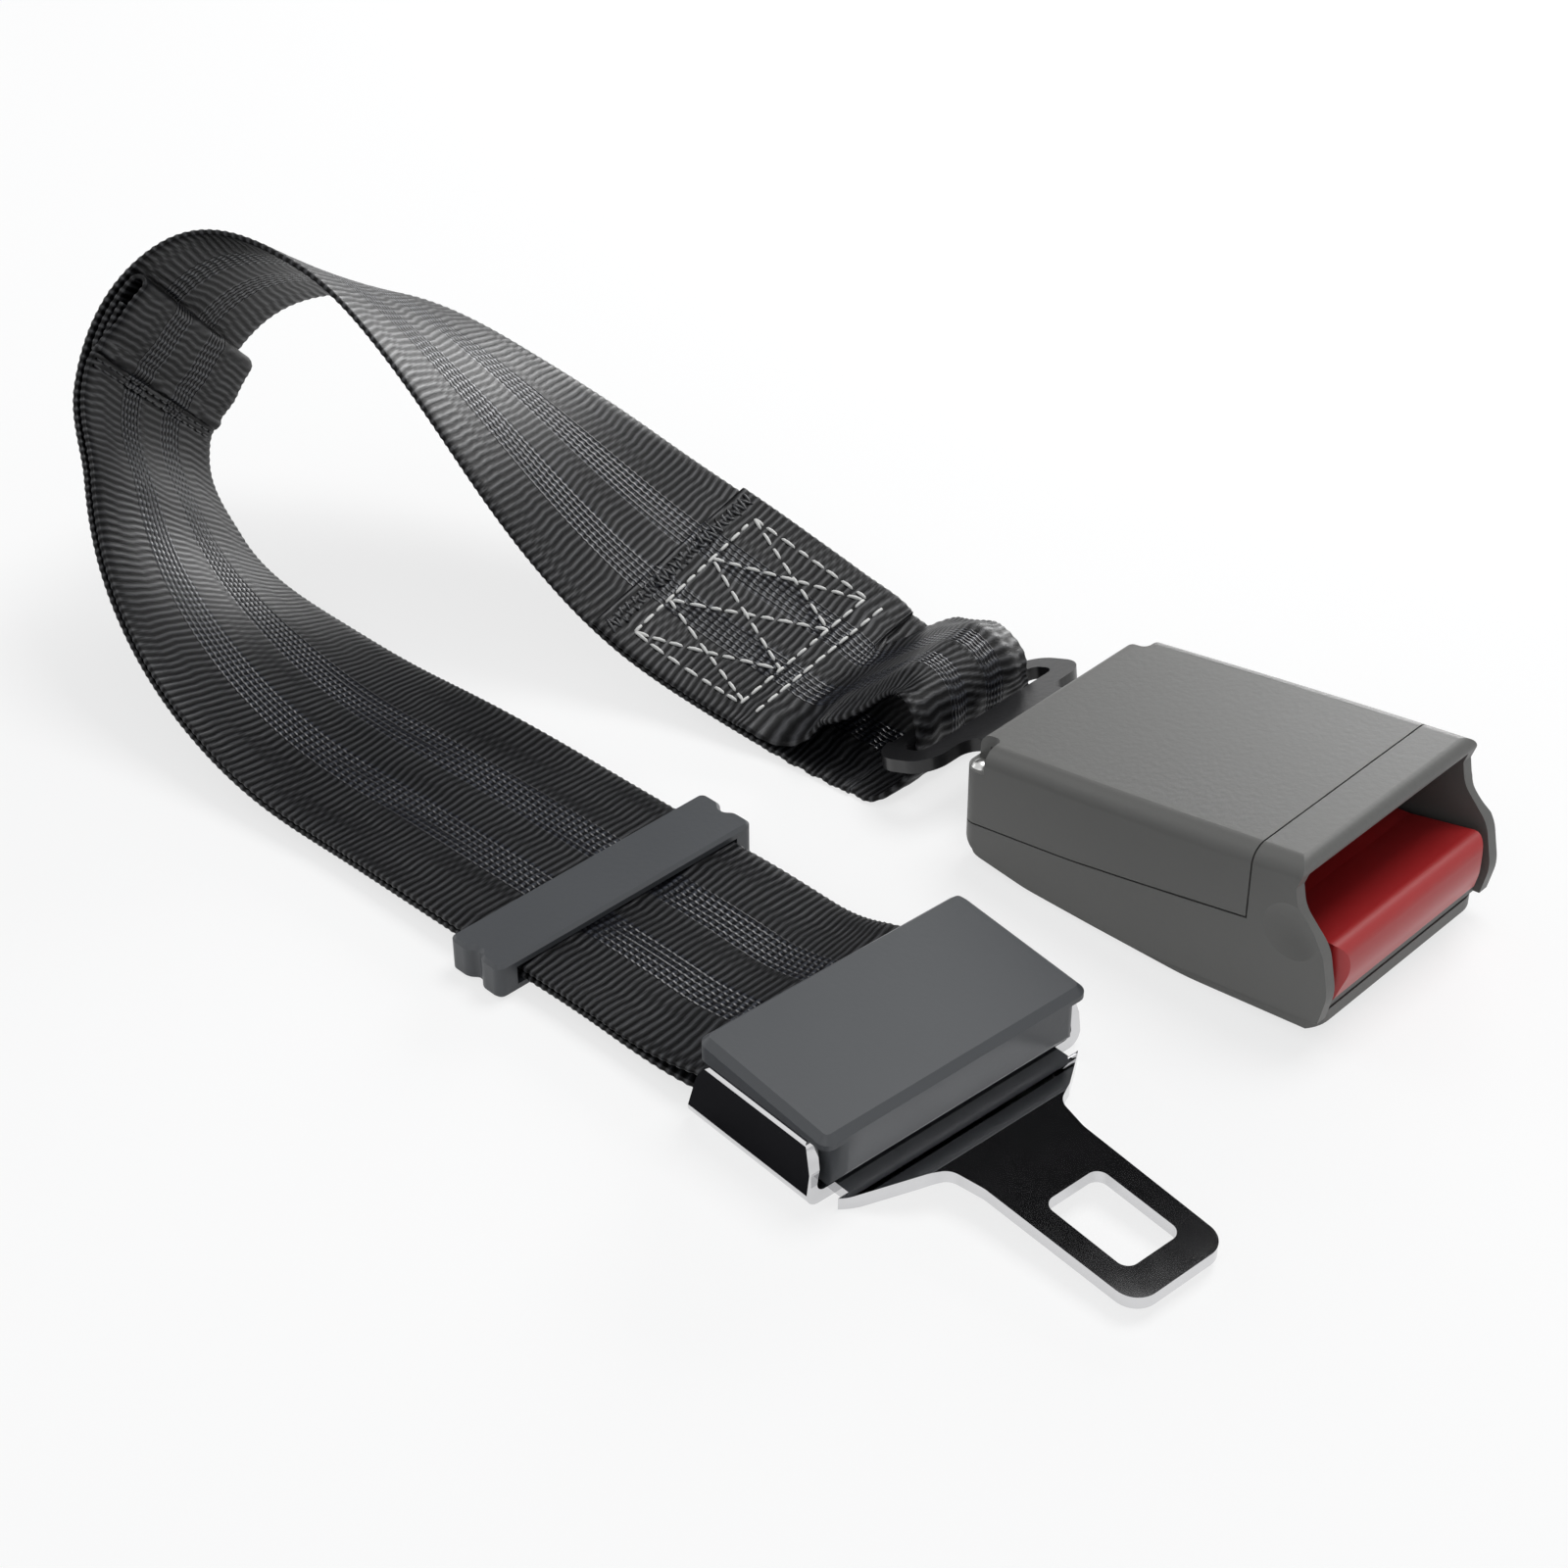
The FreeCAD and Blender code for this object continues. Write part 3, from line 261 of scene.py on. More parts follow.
HEM_TOP = 232.5
HEM_SEAM = 215.5
HEM_LEAN = 2.4
LEAN_FROM, LEAN_FULL, LEAN_FADE, LEAN_TO = 192.0, 210.0, 238.0, 264.0
POUCH = 4.9
POUCH_FROM, POUCH_FULL, POUCH_ROLL = HEM_SEAM - 2.0, HEM_SEAM + 9.0, HEM_SEAM + 11.0
BACK_LIFT = PITCH + 0.2
ROLL_LIFT = PITCH + 1.7
FOLD_TURN = 80
FOLD_PLACES = 7


def hem_lean(marks):
    """How far both layers lean away from the loop's inside behind the hem, in mm."""
    marks = np.asarray(marks, float)
    return -HEM_LEAN * ramp(marks, LEAN_FROM, LEAN_FULL) * ramp(marks, LEAN_TO, LEAN_FADE)


def pouch_swell(marks):
    """How far the free layer lifts off the load run from the seam up to the fold, in mm."""
    return (POUCH - PITCH) * ramp(marks, POUCH_FROM, POUCH_FULL)


# Small pleats where the lower layer is drawn together before the plate's slot
PLEAT_HEIGHT = 0.5
PLEAT_PITCH = 5.0
PLEAT_SLANT = 1.6
PLEATS_FROM, PLEATS_FULL, PLEATS_FADE = LOAD - 26.0, LOAD - 12.0, LOAD - 7.0

# How far the strap passes the bar's front, and how it sways sideways on its way back below the bar
BAR_PASS = 0.9
SWAY = 0.5
SWAY_LENGTH = 14.0


def webbing_load_run():
    """From over the adjuster bar round it and along the whole route, as the lower layer."""
    radius = (OVER_BAR - UNDER_BAR) / 2
    turn = np.array([BAR_FRONT + BAR_PASS - radius, 0, (UNDER_BAR + OVER_BAR) / 2])
    centre, out = [], []
    for x in np.arange(BAR_REAR, turn[0] - 0.2, STATION):
        centre.append((x, 0, OVER_BAR))
        out.append((0, 0, -1))
    for angle in np.arange(90, -91, -7.5):
        ray = np.array([math.cos(math.radians(angle)), 0, math.sin(math.radians(angle))])
        centre.append(turn + ray * radius)
        out.append(-ray)
    for x in np.arange(turn[0] - STATION, BAR_REAR - 5.8, -STATION):
        centre.append((x, -SWAY * ramp(x, BAR_FRONT, BAR_FRONT - SWAY_LENGTH), UNDER_BAR))
        out.append((0, 0, 1))
    marks = np.arange(0, LOAD + 0.01, STATION)
    route_centre, route_level, route_out, _ = load_at(marks)
    levels = np.vstack([np.tile((0.0, 1.0, 0.0), (len(out), 1)), route_level])
    near = ramp(marks, PLEATS_FROM, PLEATS_FULL) * ramp(marks, LOAD, PLEATS_FADE)
    near = near[:, None] * ramp(SHARE[None, :], 0.1, -0.6)
    waves = 0.5 + 0.5 * np.sin(2 * math.pi * (marks[:, None] / PLEAT_PITCH + SHARE[None, :] * PLEAT_SLANT))
    rise = np.zeros((len(levels), len(SHARE)))
    rise[len(out):] = PLEAT_HEIGHT * near * waves + hem_lean(marks)[:, None]
    centres, outs = np.vstack([centre, route_centre]), np.vstack([out, route_out])
    return strap("webbing_load_run", centres, levels, outs, rise=rise)


def fold_turn(mark, low, high, ahead, start, stop):
    """Stations round a fold at a mark, from one lift to the other, bulging ahead or back along the strap."""
    centre, level, out, _ = load_at(np.array([mark]))
    centre = centre + out * hem_lean(mark)
    forward = unit(np.cross(out, level)) * ahead
    radius = abs(high - low) / 2
    middle = (high + low) / 2
    centres, outs = [], []
    for angle in np.radians(np.linspace(start, stop, FOLD_PLACES)):
        c, s = math.cos(angle), math.sin(angle)
        centres.append(centre + forward * radius * c + out * (middle + radius * s))
        outs.append(unit(out * s + forward * c))
    return np.vstack(centres), np.repeat(level, FOLD_PLACES, 0), np.vstack(outs)


# The length over which the free end comes down from over the bar onto the load run
SETTLE = 30.0


def webbing_free_end():
    """Off the bar, flat on the load run, up to the fold, back down behind itself and rolled in."""
    drop = OVER_BAR - UNDER_BAR
    marks = np.arange(0, HEM_TOP - 2.0, STATION)
    lift = drop + (PITCH - drop) * ramp(marks, 0.0, SETTLE) + pouch_swell(marks) + hem_lean(marks)
    centre, level, out, _ = load_at(marks)
    start = np.array([[BAR_REAR - 0.2, 0, OVER_BAR], [BAR_REAR - 3.0, -0.2, OVER_BAR]])
    parts = [
        (start, np.tile((0.0, 1.0, 0.0), (2, 1)), np.tile((0.0, 0.0, 1.0), (2, 1))),
        (centre + out * lift[:, None], level, out),
        fold_turn(HEM_TOP - 1.9, BACK_LIFT, POUCH, 1, FOLD_TURN, -FOLD_TURN),
    ]
    marks = np.arange(HEM_TOP - 2.2, HEM_SEAM + 2.2, -STATION)
    centre, level, out, _ = load_at(marks)
    parts.append((centre + out * (BACK_LIFT + hem_lean(marks)[:, None]), level, -out))
    parts.append(fold_turn(HEM_SEAM + 1.9, ROLL_LIFT, BACK_LIFT, -1, -FOLD_TURN, FOLD_TURN))
    marks = np.arange(HEM_SEAM + 2.2, POUCH_ROLL, STATION)
    centre, level, out, _ = load_at(marks)
    parts.append((centre + out * (ROLL_LIFT + hem_lean(marks)[:, None]), level, out))
    centres, levels, outs = (np.vstack(part) for part in zip(*parts))
    return strap("webbing_free_layer", centres, levels, outs)


# Buckle frame: u forward, v across, w up from the middle of the rear face's foot

BUCKLE_YAW = math.radians(5.4)
BUCKLE_X = np.array([math.cos(BUCKLE_YAW), math.sin(BUCKLE_YAW), 0.0])
BUCKLE_Y = np.array([-math.sin(BUCKLE_YAW), math.cos(BUCKLE_YAW), 0.0])
BUCKLE_REAR = np.array([-447.3, 72.7, 0.0])


def from_buckle(u, v, w):
    return BUCKLE_REAR + BUCKLE_X * u + BUCKLE_Y * v + np.array([0, 0, 1.0]) * w


# The anchor plate's bar in the buckle frame, the length of the sewn tail and its half width at first

BAR_U = -21.065
BAR_W = 8.243
BAR_HALF = 2.3
BAR_CLEARANCE = 0.3
EYE_HEIGHT = 9.9
TAIL = 62.5
TAIL_HALF = 22.6
TAIL_WIDENING = 0.7

# Where the strap is drawn together in the slot, its rims curl down over the bar, and it folds below the bar.
# The marks run along the eye's own length, and the last two count back from its end
OVER_FROM, OVER_FULL = 16.4, 24.4
EASE_FROM, EASE_TO = 48.0, 34.0
RIM_DROP_NEAR, RIM_DROP_FAR = 1.9, 2.8
FOLD_HEIGHT = 0.25
FOLDS = 2.5


def webbing_eye():
    """From under the anchor plate up through its slot, over the bar and back as the sewn tail."""
    slot = BAR_U + BAR_HALF + BAR_CLEARANCE + EDGE + 0.05
    crest = BAR_W + EYE_HEIGHT
    # (u, v, w, half width, how much higher the far rim lies)
    loop = [
        (BAR_U - 7.0, 0, 0.75, 23.9, 0), (BAR_U - 3.6, 0, 0.8, 23.8, 0),
        (BAR_U + 0.6, 0, 1.2, 23.0, 0), (slot - 0.5, 0, 3.2, 19.0, 0),
        (slot, 0, BAR_W - 2.2, 16.0, 0), (slot + 0.2, 0.3, BAR_W + 2.4, 15.4, 0),
        (slot - 1.2, 1.2, BAR_W + 6.6, 15.2, 0), (BAR_U - 1.5, 2.2, crest - 0.7, 15.2, 0.1),
        (BAR_U - 5.5, 2.4, crest, 15.4, 0.3), (BAR_U - 10.0, 2.2, crest - 2.6, 16.8, 1.6),
        (BAR_U - 14.5, 1.5, crest - 6.4, 19.6, 2.6), (BAR_U - 19.5, 0.4, crest - 10.2, 22.4, 2.0),
    ]
    path = [(from_buckle(u, v, w), BUCKLE_Y * half + np.array([0, 0, lift])) for u, v, w, half, lift in loop]
    tail = np.append(np.arange(LOAD - 20.0, LOAD - TAIL + 3.0, -6.0), LOAD - TAIL)
    centre, level, out, _ = load_at(tail)
    for k in range(len(tail)):
        path.append((centre[k] - out[k] * PITCH, level[k] * min(HALF, TAIL_HALF + TAIL_WIDENING * (k + 1))))
    at, length = rails(path)
    marks = np.append(np.arange(0, length - STATION / 2, STATION), length)
    centre, level, out, half = at(marks)
    half = np.minimum(half, HALF)
    share = SHARE[None, :]
    squeeze = np.clip((HALF - half) / 9.0, 0, 1) * ramp(marks, length - EASE_TO, length - EASE_FROM)
    squeeze = squeeze[:, None]
    over = ramp(marks, OVER_FROM, OVER_FULL)[:, None]
    rims = RIM_DROP_NEAR * ramp(share, -0.62, -1.0) + RIM_DROP_FAR * ramp(share, 0.6, 1.0)
    rise = FOLD_HEIGHT * squeeze * (1 - over) * np.cos(2 * math.pi * FOLDS * share)
    rise = rise - squeeze * over * rims
    return strap("webbing_sewn_eye", centre, level, out, share * (half[:, None] - EDGE), rise)


# Threads

# One stitch's rings: share of its length, share of its radius, and how deep the ring sinks in radii
STITCH_RINGS = ((0.0, 0.25, 0.5), (0.12, 0.8, 0.1), (0.5, 1.0, -0.15), (0.88, 0.8, 0.1), (1.0, 0.25, 0.5))
STITCH_SIDES = 6
# How much the length of a stitch and the gap after it vary
DASH_RANGE, GAP_RANGE = (0.75, 1.15), (0.6, 1.4)


def tube_faces(base, rings, sides):
    """Faces of a closed tube whose rings of points follow each other from base."""
    faces = []
    for r in range(rings - 1):
        for k in range(sides):
            a, b = base + r * sides + k, base + r * sides + (k + 1) % sides
            faces.append((a, b, b + sides, a + sides))
    faces.append(tuple(base + k for k in range(sides - 1, -1, -1)))
    faces.append(tuple(base + (rings - 1) * sides + k for k in range(sides)))
    return faces


def threads(name, lines, radius, dash, gap, slot_name, seed):
    """Stitches as short rounded dashes along lines of (point, outward) pairs."""
    chance = np.random.default_rng(seed)
    points, faces = [], []
    for line in lines:
        spots = np.array([spot for spot, outward in line])
        outs = np.array([outward for spot, outward in line])
        marks = arc_lengths(spots)

        def spot_at(mark):
            where = np.array([np.interp(mark, marks, spots[:, k]) for k in range(3)])
            out = unit(np.array([np.interp(mark, marks, outs[:, k]) for k in range(3)]))
            return where, out

        mark = 0.0
        while mark < marks[-1] - dash / 3:
            reach = min(dash * chance.uniform(*DASH_RANGE), marks[-1] - mark)
            faces += tube_faces(len(points), len(STITCH_RINGS), STITCH_SIDES)
            for share, size, sink in STITCH_RINGS:
                here = mark + reach * share
                where, out = spot_at(here)
                ahead = unit(spot_at(here + 0.1)[0] - spot_at(here - 0.1)[0])
                across = unit(np.cross(ahead, out))
                up = unit(np.cross(across, ahead))
                for k in range(STITCH_SIDES):
                    angle = 2 * math.pi * k / STITCH_SIDES
                    ray = (across * math.cos(angle) + up * math.sin(angle)) * radius * size
                    points.append(where - up * radius * sink + ray)
            mark += reach + gap * chance.uniform(*GAP_RANGE)
    made = build_mesh(name, to_row(points), faces)
    made.data.materials.append(MATERIALS[slot_name])
    return made


def on_strap(spots, lift):
    """(point, outward) pairs through (mark, across) spots. A lift below 0 is on the load run's back."""
    line = []
    for k in range(len(spots) - 1):
        (mark0, across0), (mark1, across1) = spots[k], spots[k + 1]
        steps = max(2, int(math.hypot(mark1 - mark0, across1 - across0) / 1.5))
        for share in np.linspace(0, 1, steps, endpoint=k == len(spots) - 2):
            centre, level, out, _ = load_at(np.array([mark0 + (mark1 - mark0) * share]))
            side = out[0] if lift > 0 else -out[0]
            across = across0 + (across1 - across0) * share
            line.append((centre[0] + level[0] * across + out[0] * lift, side))
    return line


FACE_LIFT = PITCH + EDGE + 0.05
SEAM_REAR, SEAM_FRONT, SEAM_LAST = LOAD - 56.0, LOAD - 30.0, LOAD - 26.4
SEAM_NEAR, SEAM_FAR = -19.5, 18.6
ROW_HALF = 22.5
CUT_END_REACH = (4.2, 1.0)
CUT_END_PITCH = 0.95


def tail_seams():
    """The box with its two zigzags and a second row in front."""
    reach = SEAM_FAR - SEAM_NEAR
    rear = [SEAM_NEAR + reach * share for share in (0.0, 0.28, 0.64, 1.0)]
    front = [SEAM_NEAR + reach * share for share in (0.02, 0.31, 0.69, 0.98)]
    lines = [
        [(SEAM_REAR, SEAM_NEAR), (SEAM_REAR, SEAM_FAR)], [(SEAM_FRONT, SEAM_NEAR), (SEAM_FRONT, SEAM_FAR)],
        [(SEAM_LAST, SEAM_NEAR), (SEAM_LAST, SEAM_FAR + 1.0)],
        [(SEAM_REAR, SEAM_NEAR), (SEAM_FRONT, SEAM_NEAR)], [(SEAM_REAR, SEAM_FAR), (SEAM_FRONT, SEAM_FAR)],
        [(SEAM_REAR, rear[0]), (SEAM_FRONT, front[1]), (SEAM_REAR, rear[2]), (SEAM_FRONT, front[3])],
        [(SEAM_FRONT, front[0]), (SEAM_REAR, rear[1]), (SEAM_FRONT, front[2]), (SEAM_REAR, rear[3])],
    ]
    return [on_strap(line, -FACE_LIFT) for line in lines]


def cut_end_band():
    """The overlocked cut end: a dense zigzag of dark thread."""
    spots = []
    across = -ROW_HALF
    while across < ROW_HALF:
        spots.append((LOAD - TAIL + CUT_END_REACH[len(spots) % 2], across))
        across += CUT_END_PITCH
    return [on_strap(spots, -FACE_LIFT)]


def hem_seam():
    """Three rows of dark thread across the hem's crease."""
    lines = []
    for mark in (HEM_SEAM - 1.4, HEM_SEAM - 0.2, HEM_SEAM + 1.0):
        lift = FACE_LIFT + float(pouch_swell(mark)) + float(hem_lean(mark))
        lines.append(on_strap([(mark, -ROW_HALF), (mark, ROW_HALF)], lift))
    return lines


# Materials


class Nodes:
    """Short ways to build a shader."""

    def __init__(self, name):
        self.material = bpy.data.materials.new(name)
        self.material.use_nodes = True
        self.tree = self.material.node_tree
        self.shader = self.tree.nodes["Principled BSDF"]

    def add(self, kind, **settings):
        node = self.tree.nodes.new(kind)
        for key, value in settings.items():
            setattr(node, key, value)
        return node

    def put(self, socket, value):
        if isinstance(value, bpy.types.NodeSocket):
            self.tree.links.new(value, socket)
        else:
            socket.default_value = value

    def math(self, operation, a, b=None, c=None):
        node = self.add("ShaderNodeMath", operation=operation)
        for k, value in enumerate((a, b, c)):
            if value is not None:
                self.put(node.inputs[k], value)
        return node.outputs[0]

    def mix(self, share, a, b):
        node = self.add("ShaderNodeMix", data_type="RGBA")
        self.put(node.inputs[0], share)
        self.put(node.inputs[6], a)
        self.put(node.inputs[7], b)
        return node.outputs[2]

    def join(self, x, y):
        node = self.add("ShaderNodeCombineXYZ")
        self.put(node.inputs[0], x)
        self.put(node.inputs[1], y)
        return node.outputs[0]

    def noise(self, vector, scale, detail=2.0):
        node = self.add("ShaderNodeTexNoise")
        self.put(node.inputs["Vector"], vector)
        self.put(node.inputs["Scale"], scale)
        self.put(node.inputs["Detail"], detail)
        return node.outputs[0]

    def coordinates(self):
        return self.add("ShaderNodeTexCoord").outputs["Object"]

    def bump(self, height, distance):
        node = self.add("ShaderNodeBump")
        self.put(node.inputs["Strength"], 1.0)
        self.put(node.inputs["Distance"], distance)
        self.put(node.inputs["Height"], height)
        self.put(self.shader.inputs["Normal"], node.outputs[0])

    def finish(self, color, rough, metal=0.0):
        self.put(self.shader.inputs["Base Color"], color)
        self.put(self.shader.inputs["Roughness"], rough)
        self.put(self.shader.inputs["Metallic"], metal)
        return self.material


def opaque(color, share=1.0):
    """A socket's four values from three, darkened by a share."""
    return tuple(c * share for c in color) + (1,)


# The two glossy lengthwise stripes, from the strap's first edge in mm, and the pitch of their beads
STRIPES = ((13.0, 20.2), (27.8, 35.0))
BEAD_PITCH = 1.2


def webbing_material():
    n = Nodes("webbing")
    split = n.add("ShaderNodeSeparateXYZ")
    n.put(split.inputs[0], n.add("ShaderNodeUVMap", uv_map="UVMap").outputs[0])
    u = n.math("MULTIPLY", split.outputs[0], WIDTH)
    v = n.math("MULTIPLY", split.outputs[1], WIDTH)
    rib = n.add("ShaderNodeAttribute", attribute_name="rib").outputs["Fac"]

    def band(low, high):
        return n.math("MULTIPLY", n.math("GREATER_THAN", u, low), n.math("LESS_THAN", u, high))

    stripe = n.math("ADD", *(band(low, high) for low, high in STRIPES))
    turns = n.math("MULTIPLY", u, 2 * math.pi / BEAD_PITCH)
    bead = n.math("MULTIPLY_ADD", n.math("COSINE", turns), 0.5, 0.5)
    seam = n.math("MULTIPLY", stripe, n.math("POWER", bead, 3.0))
    fibre = n.noise(n.join(n.math("MULTIPLY", u, 0.7), n.math("MULTIPLY", v, 4.5)), 1.0)
    worn = n.noise(n.join(n.math("MULTIPLY", u, 0.05), n.math("MULTIPLY", v, 0.03)), 1.0)
    n.bump(n.math("MULTIPLY_ADD", seam, -0.6, n.math("MULTIPLY", fibre, 0.22)), 0.00026)
    # Painted shade and light: the colour runs from near black in the rib grooves and between the stripes'
    # beads to a lighter grey on the rib crests, standing in for the shade in the weave's hollows and the
    # light on its crests; worn varies the crests at random
    crest = n.math("POWER", rib, 2.4)
    crest = n.math("MULTIPLY", crest, n.math("SUBTRACT", 1.0, n.math("MULTIPLY", seam, 0.8)))
    crest = n.math("MULTIPLY", crest, n.math("MULTIPLY_ADD", worn, 0.9, 0.5))
    plain = n.mix(crest, (0.0018, 0.0018, 0.0021, 1), (0.034, 0.035, 0.039, 1))
    glossy = n.mix(crest, (0.0025, 0.0025, 0.0035, 1), (0.050, 0.055, 0.070, 1))
    n.put(n.shader.inputs["Specular IOR Level"], n.math("MULTIPLY_ADD", crest, 0.42, 0.10))
    return n.finish(n.mix(stripe, plain, glossy), n.math("MULTIPLY_ADD", stripe, -0.14, 0.42))


def thread_material(name, color, rough):
    n = Nodes(name)
    twist = n.noise(n.coordinates(), 2600.0, 1.0)
    n.bump(twist, 0.00006)
    return n.finish(n.mix(twist, opaque(color, 0.75), opaque(color)), rough)


def plastic(name, color, rough, grain=0.00003):
    n = Nodes(name)
    where = n.coordinates()
    n.bump(n.noise(where, 900.0, 3.0), grain)
    patch = n.noise(where, 60.0)
    shade = n.mix(patch, opaque(color, 0.93), opaque(color))
    return n.finish(shade, n.math("MULTIPLY_ADD", patch, 0.06, rough - 0.03))


def metal(name, color, rough):
    n = Nodes(name)
    patch = n.noise(n.coordinates(), 220.0, 3.0)
    shade = n.mix(patch, opaque(color, 0.95), opaque(color))
    return n.finish(shade, n.math("MULTIPLY_ADD", patch, rough * 0.3, rough * 0.85), 1.0)


def card_material(name, color, rough):
    """A stage piece's surface without any gloss."""
    n = Nodes(name)
    n.finish(opaque(color), rough)
    n.put(n.shader.inputs["Specular IOR Level"], 0.0)
    return n


MATERIALS = {
    "webbing": webbing_material(),
    "white_thread": thread_material("white_thread", (0.80, 0.80, 0.78), 0.6),
    "black_thread": thread_material("black_thread", (0.035, 0.036, 0.040), 0.45),
    "slate_plastic": plastic("slate_plastic", (0.056, 0.060, 0.066), 0.44),
    "grey_plastic": plastic("grey_plastic", (0.116, 0.116, 0.111), 0.48),
    "red_plastic": plastic("red_plastic", (0.40, 0.017, 0.019), 0.36, 0.00001),
    "chrome": metal("chrome", (0.68, 0.68, 0.69), 0.06),
    "black_steel": plastic("black_steel", (0.012, 0.012, 0.013), 0.3),
    "steel": metal("steel", (0.55, 0.55, 0.54), 0.3),
    "spring_steel": metal("spring_steel", (0.42, 0.42, 0.43), 0.28),
}
SLOTS = {row["node"]: row["material_slot"] for row in frame["record"]["subparts"]}


def paint(piece, slot):
    piece.data.materials.clear()
    piece.data.materials.append(MATERIALS[slot])


def place_webbing(piece, node, **cloth):
    """A finished length of webbing, which stands for a CAD node."""
    paint(piece, "webbing")
    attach(piece, "webbing")
    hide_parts(node)


place_webbing(webbing_load_run(), "webbing_main", held="laid")
place_webbing(webbing_free_end(), "webbing_free_end", held="folded", rests_on=["webbing_load_run"])
place_webbing(webbing_eye(), "webbing_eye", held="gathered", rests_on=["anchor_plate"])

for piece in (
    threads("tail_stitches", tail_seams(), 0.36, 2.8, 0.8, "white_thread", 3),
    threads("cut_end_stitches", cut_end_band(), 0.30, 3.0, 0.3, "black_thread", 5),
    threads("hem_stitches", hem_seam(), 0.26, 2.2, 0.7, "black_thread", 7),
):
    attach(piece, "webbing")

# Moulded and stamped pieces keep their CAD form, with every sharp edge rounded to a radius in mm

EDGES = {
    "buckle_lid": 0.6, "buckle_shell": 0.6, "buckle_base": 0.7, "release_button": 0.8, "webbing_keeper": 0.5,
    "adjuster_cover": 0.7, "tongue_plate": 0.45, "anchor_plate": 0.5, "adjuster_bar": 0.5, "latch_plate": 0.2,
    "buckle_frame": 0.3, "ejector": 0.3, "corner_rivets": 0.15,
}


def soften(piece, radius):
    flat = piece.modifiers.new("flat", "DECIMATE")
    flat.decimate_type = "DISSOLVE"
    flat.angle_limit = math.radians(0.6)
    edge = piece.modifiers.new("edge", "BEVEL")
    edge.width = radius / 1000
    edge.segments = 3
    edge.limit_method = "ANGLE"
    edge.angle_limit = math.radians(24)
    edge.use_clamp_overlap = False
    edge.harden_normals = True
    edge.miter_outer = "MITER_ARC"


for name, piece in NODES.items():
    if not piece.hide_render:
        paint(piece, SLOTS[name])
        for face in piece.data.polygons:
            face.use_smooth = True
        if name in EDGES:
            soften(piece, EDGES[name])
        else:
            crease = piece.modifiers.new("edges", "EDGE_SPLIT")
            crease.split_angle = math.radians(28)

# Stage, in metres in the row frame


def floor():
    """A pale floor that a camera or a mirror sees as near white, with the object's shadow kept."""
    half = 3.0
    points = [(-half, -half, 0), (half, -half, 0), (half, half, 0), (-half, half, 0)]
    made = build_mesh("floor", points, [(0, 1, 2, 3)], smooth=False)
    n = card_material("floor", (0.96, 0.96, 0.96), 0.9)
    path = n.add("ShaderNodeLightPath")
    seen = n.math("MAXIMUM", path.outputs["Is Camera Ray"], path.outputs["Is Glossy Ray"])
    seen = n.math("MAXIMUM", seen, path.outputs["Is Transmission Ray"])
    white = n.add("ShaderNodeEmission")
    n.put(white.inputs[0], (1, 1, 1, 1))
    n.put(white.inputs[1], 1.0)
    blend = n.add("ShaderNodeMixShader")
    n.put(blend.inputs[0], n.math("MULTIPLY", seen, 0.72))
    n.put(blend.inputs[1], n.shader.outputs[0])
    n.put(blend.inputs[2], white.outputs[0])
    n.put(n.tree.nodes["Material Output"].inputs[0], blend.outputs[0])
    made.data.materials.append(n.material)


def card(name, corners, color):
    """A matt black card that mirrors show and the camera doesn't."""
    made = build_mesh(name, corners, [(0, 1, 2, 3)], smooth=False)
    made.data.materials.append(card_material(name, color, 1.0).material)
    made.visible_camera = False
    return made


def flag():
    """The card behind and above the object, which the flat tops and the chrome mirror."""
    middle, width, height = Vector((-0.80, 0.70, 0.72)), 1.5, 0.95
    away = middle.normalized()
    side = away.cross(Vector((0, 0, 1))).normalized() * width / 2
    up = side.normalized().cross(away) * height / 2
    corners = [middle - side - up, middle + side - up, middle + side + up, middle - side + up]
    card("flag", corners, (0.012, 0.012, 0.013))


def low_flag():
    """The card lying beside the tongue's near flange, which only that mirror sees."""
    corners = [Vector(corner) for corner in NODES["tongue_plate"].bound_box]
    left = min(corner.x for corner in corners)
    near = min(corner.y for corner in corners)
    x0, x1, y0, y1, z = left - 0.030, left + 0.048, near - 0.024, near - 0.002, 0.0003
    made = card("low_flag", [(x0, y0, z), (x1, y0, z), (x1, y1, z), (x0, y1, z)], (0.02, 0.02, 0.022))
    made.visible_diffuse = False
    made.visible_shadow = False


def area_light(name, where, target, size, power):
    data = bpy.data.lights.new(name, "AREA")
    data.shape = "RECTANGLE"
    data.size, data.size_y = size
    data.energy = power
    made = bpy.data.objects.new(name, data)
    bpy.context.scene.collection.objects.link(made)
    made.location = where
    made.rotation_euler = (Vector(target) - Vector(where)).to_track_quat("-Z", "Y").to_euler()


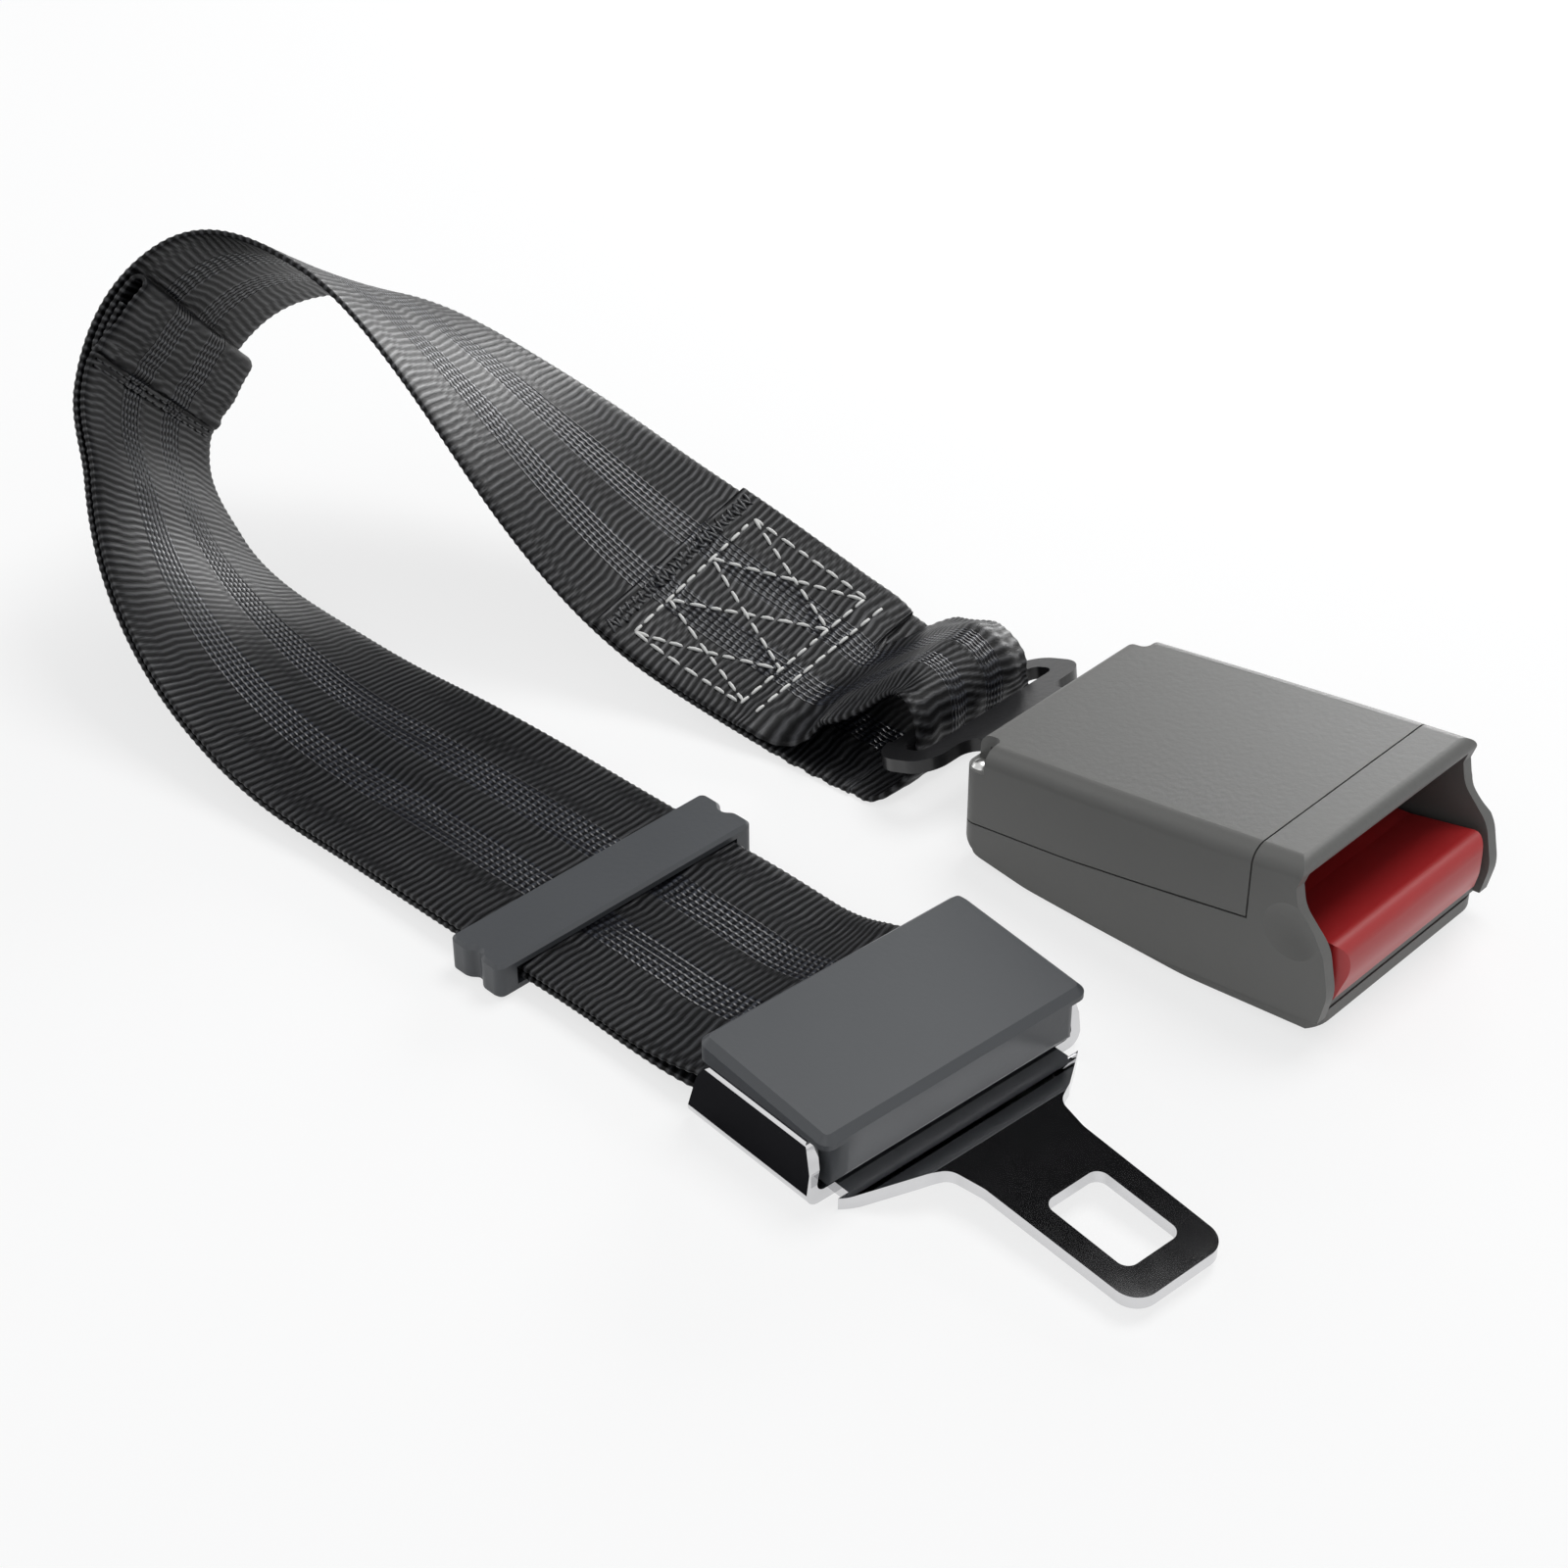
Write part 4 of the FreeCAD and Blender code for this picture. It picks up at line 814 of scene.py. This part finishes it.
def world():
    """A pale sky for light, which a camera or a mirror sees as white."""
    made = bpy.data.worlds.new("world")
    bpy.context.scene.world = made
    made.use_nodes = True
    nodes, link = made.node_tree.nodes, made.node_tree.links.new
    sky = nodes["Background"]
    sky.inputs[0].default_value = (0.96, 0.98, 1.0, 1)
    sky.inputs[1].default_value = 0.42
    white = nodes.new("ShaderNodeBackground")
    white.inputs[0].default_value = (1, 1, 1, 1)
    path = nodes.new("ShaderNodeLightPath")
    either, seen = nodes.new("ShaderNodeMath"), nodes.new("ShaderNodeMath")
    either.operation = seen.operation = "MAXIMUM"
    link(path.outputs["Is Camera Ray"], either.inputs[0])
    link(path.outputs["Is Glossy Ray"], either.inputs[1])
    link(either.outputs[0], seen.inputs[0])
    link(path.outputs["Is Transmission Ray"], seen.inputs[1])
    blend = nodes.new("ShaderNodeMixShader")
    link(seen.outputs[0], blend.inputs[0])
    link(sky.outputs[0], blend.inputs[1])
    link(white.outputs[0], blend.inputs[2])
    link(blend.outputs[0], nodes["World Output"].inputs[0])


# The camera as solved from the photo, with the focal length in its pixels

FOCAL_PIXELS, PHOTO_PIXELS = 3092.982, 1600.0
SENSOR = 36.0
CAMERA_TARGET = np.array([-480.877, 40.200, 0.0])
CAMERA_DISTANCE = 538.150
CAMERA_AZIMUTH = math.radians(-41.16358)
CAMERA_HEIGHT = math.radians(35.59055)
CAMERA_ROLL = math.radians(-0.15953)


def camera():
    level = math.cos(CAMERA_HEIGHT)
    east, north = math.cos(CAMERA_AZIMUTH) * level, math.sin(CAMERA_AZIMUTH) * level
    back = np.array([east, north, math.sin(CAMERA_HEIGHT)])
    right = unit(np.cross(-back, [0, 0, 1.0]))
    up = np.cross(right, -back)
    c, s = math.cos(CAMERA_ROLL), math.sin(CAMERA_ROLL)
    right, up = c * right + s * up, -s * right + c * up
    data = bpy.data.cameras.new("camera")
    data.sensor_width = SENSOR
    data.lens = FOCAL_PIXELS * SENSOR / PHOTO_PIXELS
    data.clip_start, data.clip_end = 0.01, 20.0
    made = bpy.data.objects.new("camera", data)
    bpy.context.scene.collection.objects.link(made)
    turn = Matrix([list(right), list(up), list(back)]).transposed()
    eye = to_row(CAMERA_TARGET + back * CAMERA_DISTANCE)
    made.matrix_world = Matrix.Translation(Vector(eye)) @ turn.to_4x4()
    bpy.context.scene.camera = made


floor()
flag()
low_flag()
area_light("key", (0.02, 0.42, 0.92), (0, 0, 0), (0.5, 0.5), 4.6)
area_light("back", (-0.36, 0.88, 0.26), (-0.03, 0, 0.03), (0.55, 0.30), 5.4)
area_light("fill", (0.5, -0.7, 0.6), (0, 0, 0), (0.6, 0.6), 0.8)
area_light("left", (-0.8, -0.35, 0.45), (0, 0, 0), (0.5, 0.5), 0.9)
world()
camera()
bpy.context.scene.view_settings.view_transform = "Standard"
bpy.context.scene.view_settings.look = "None"
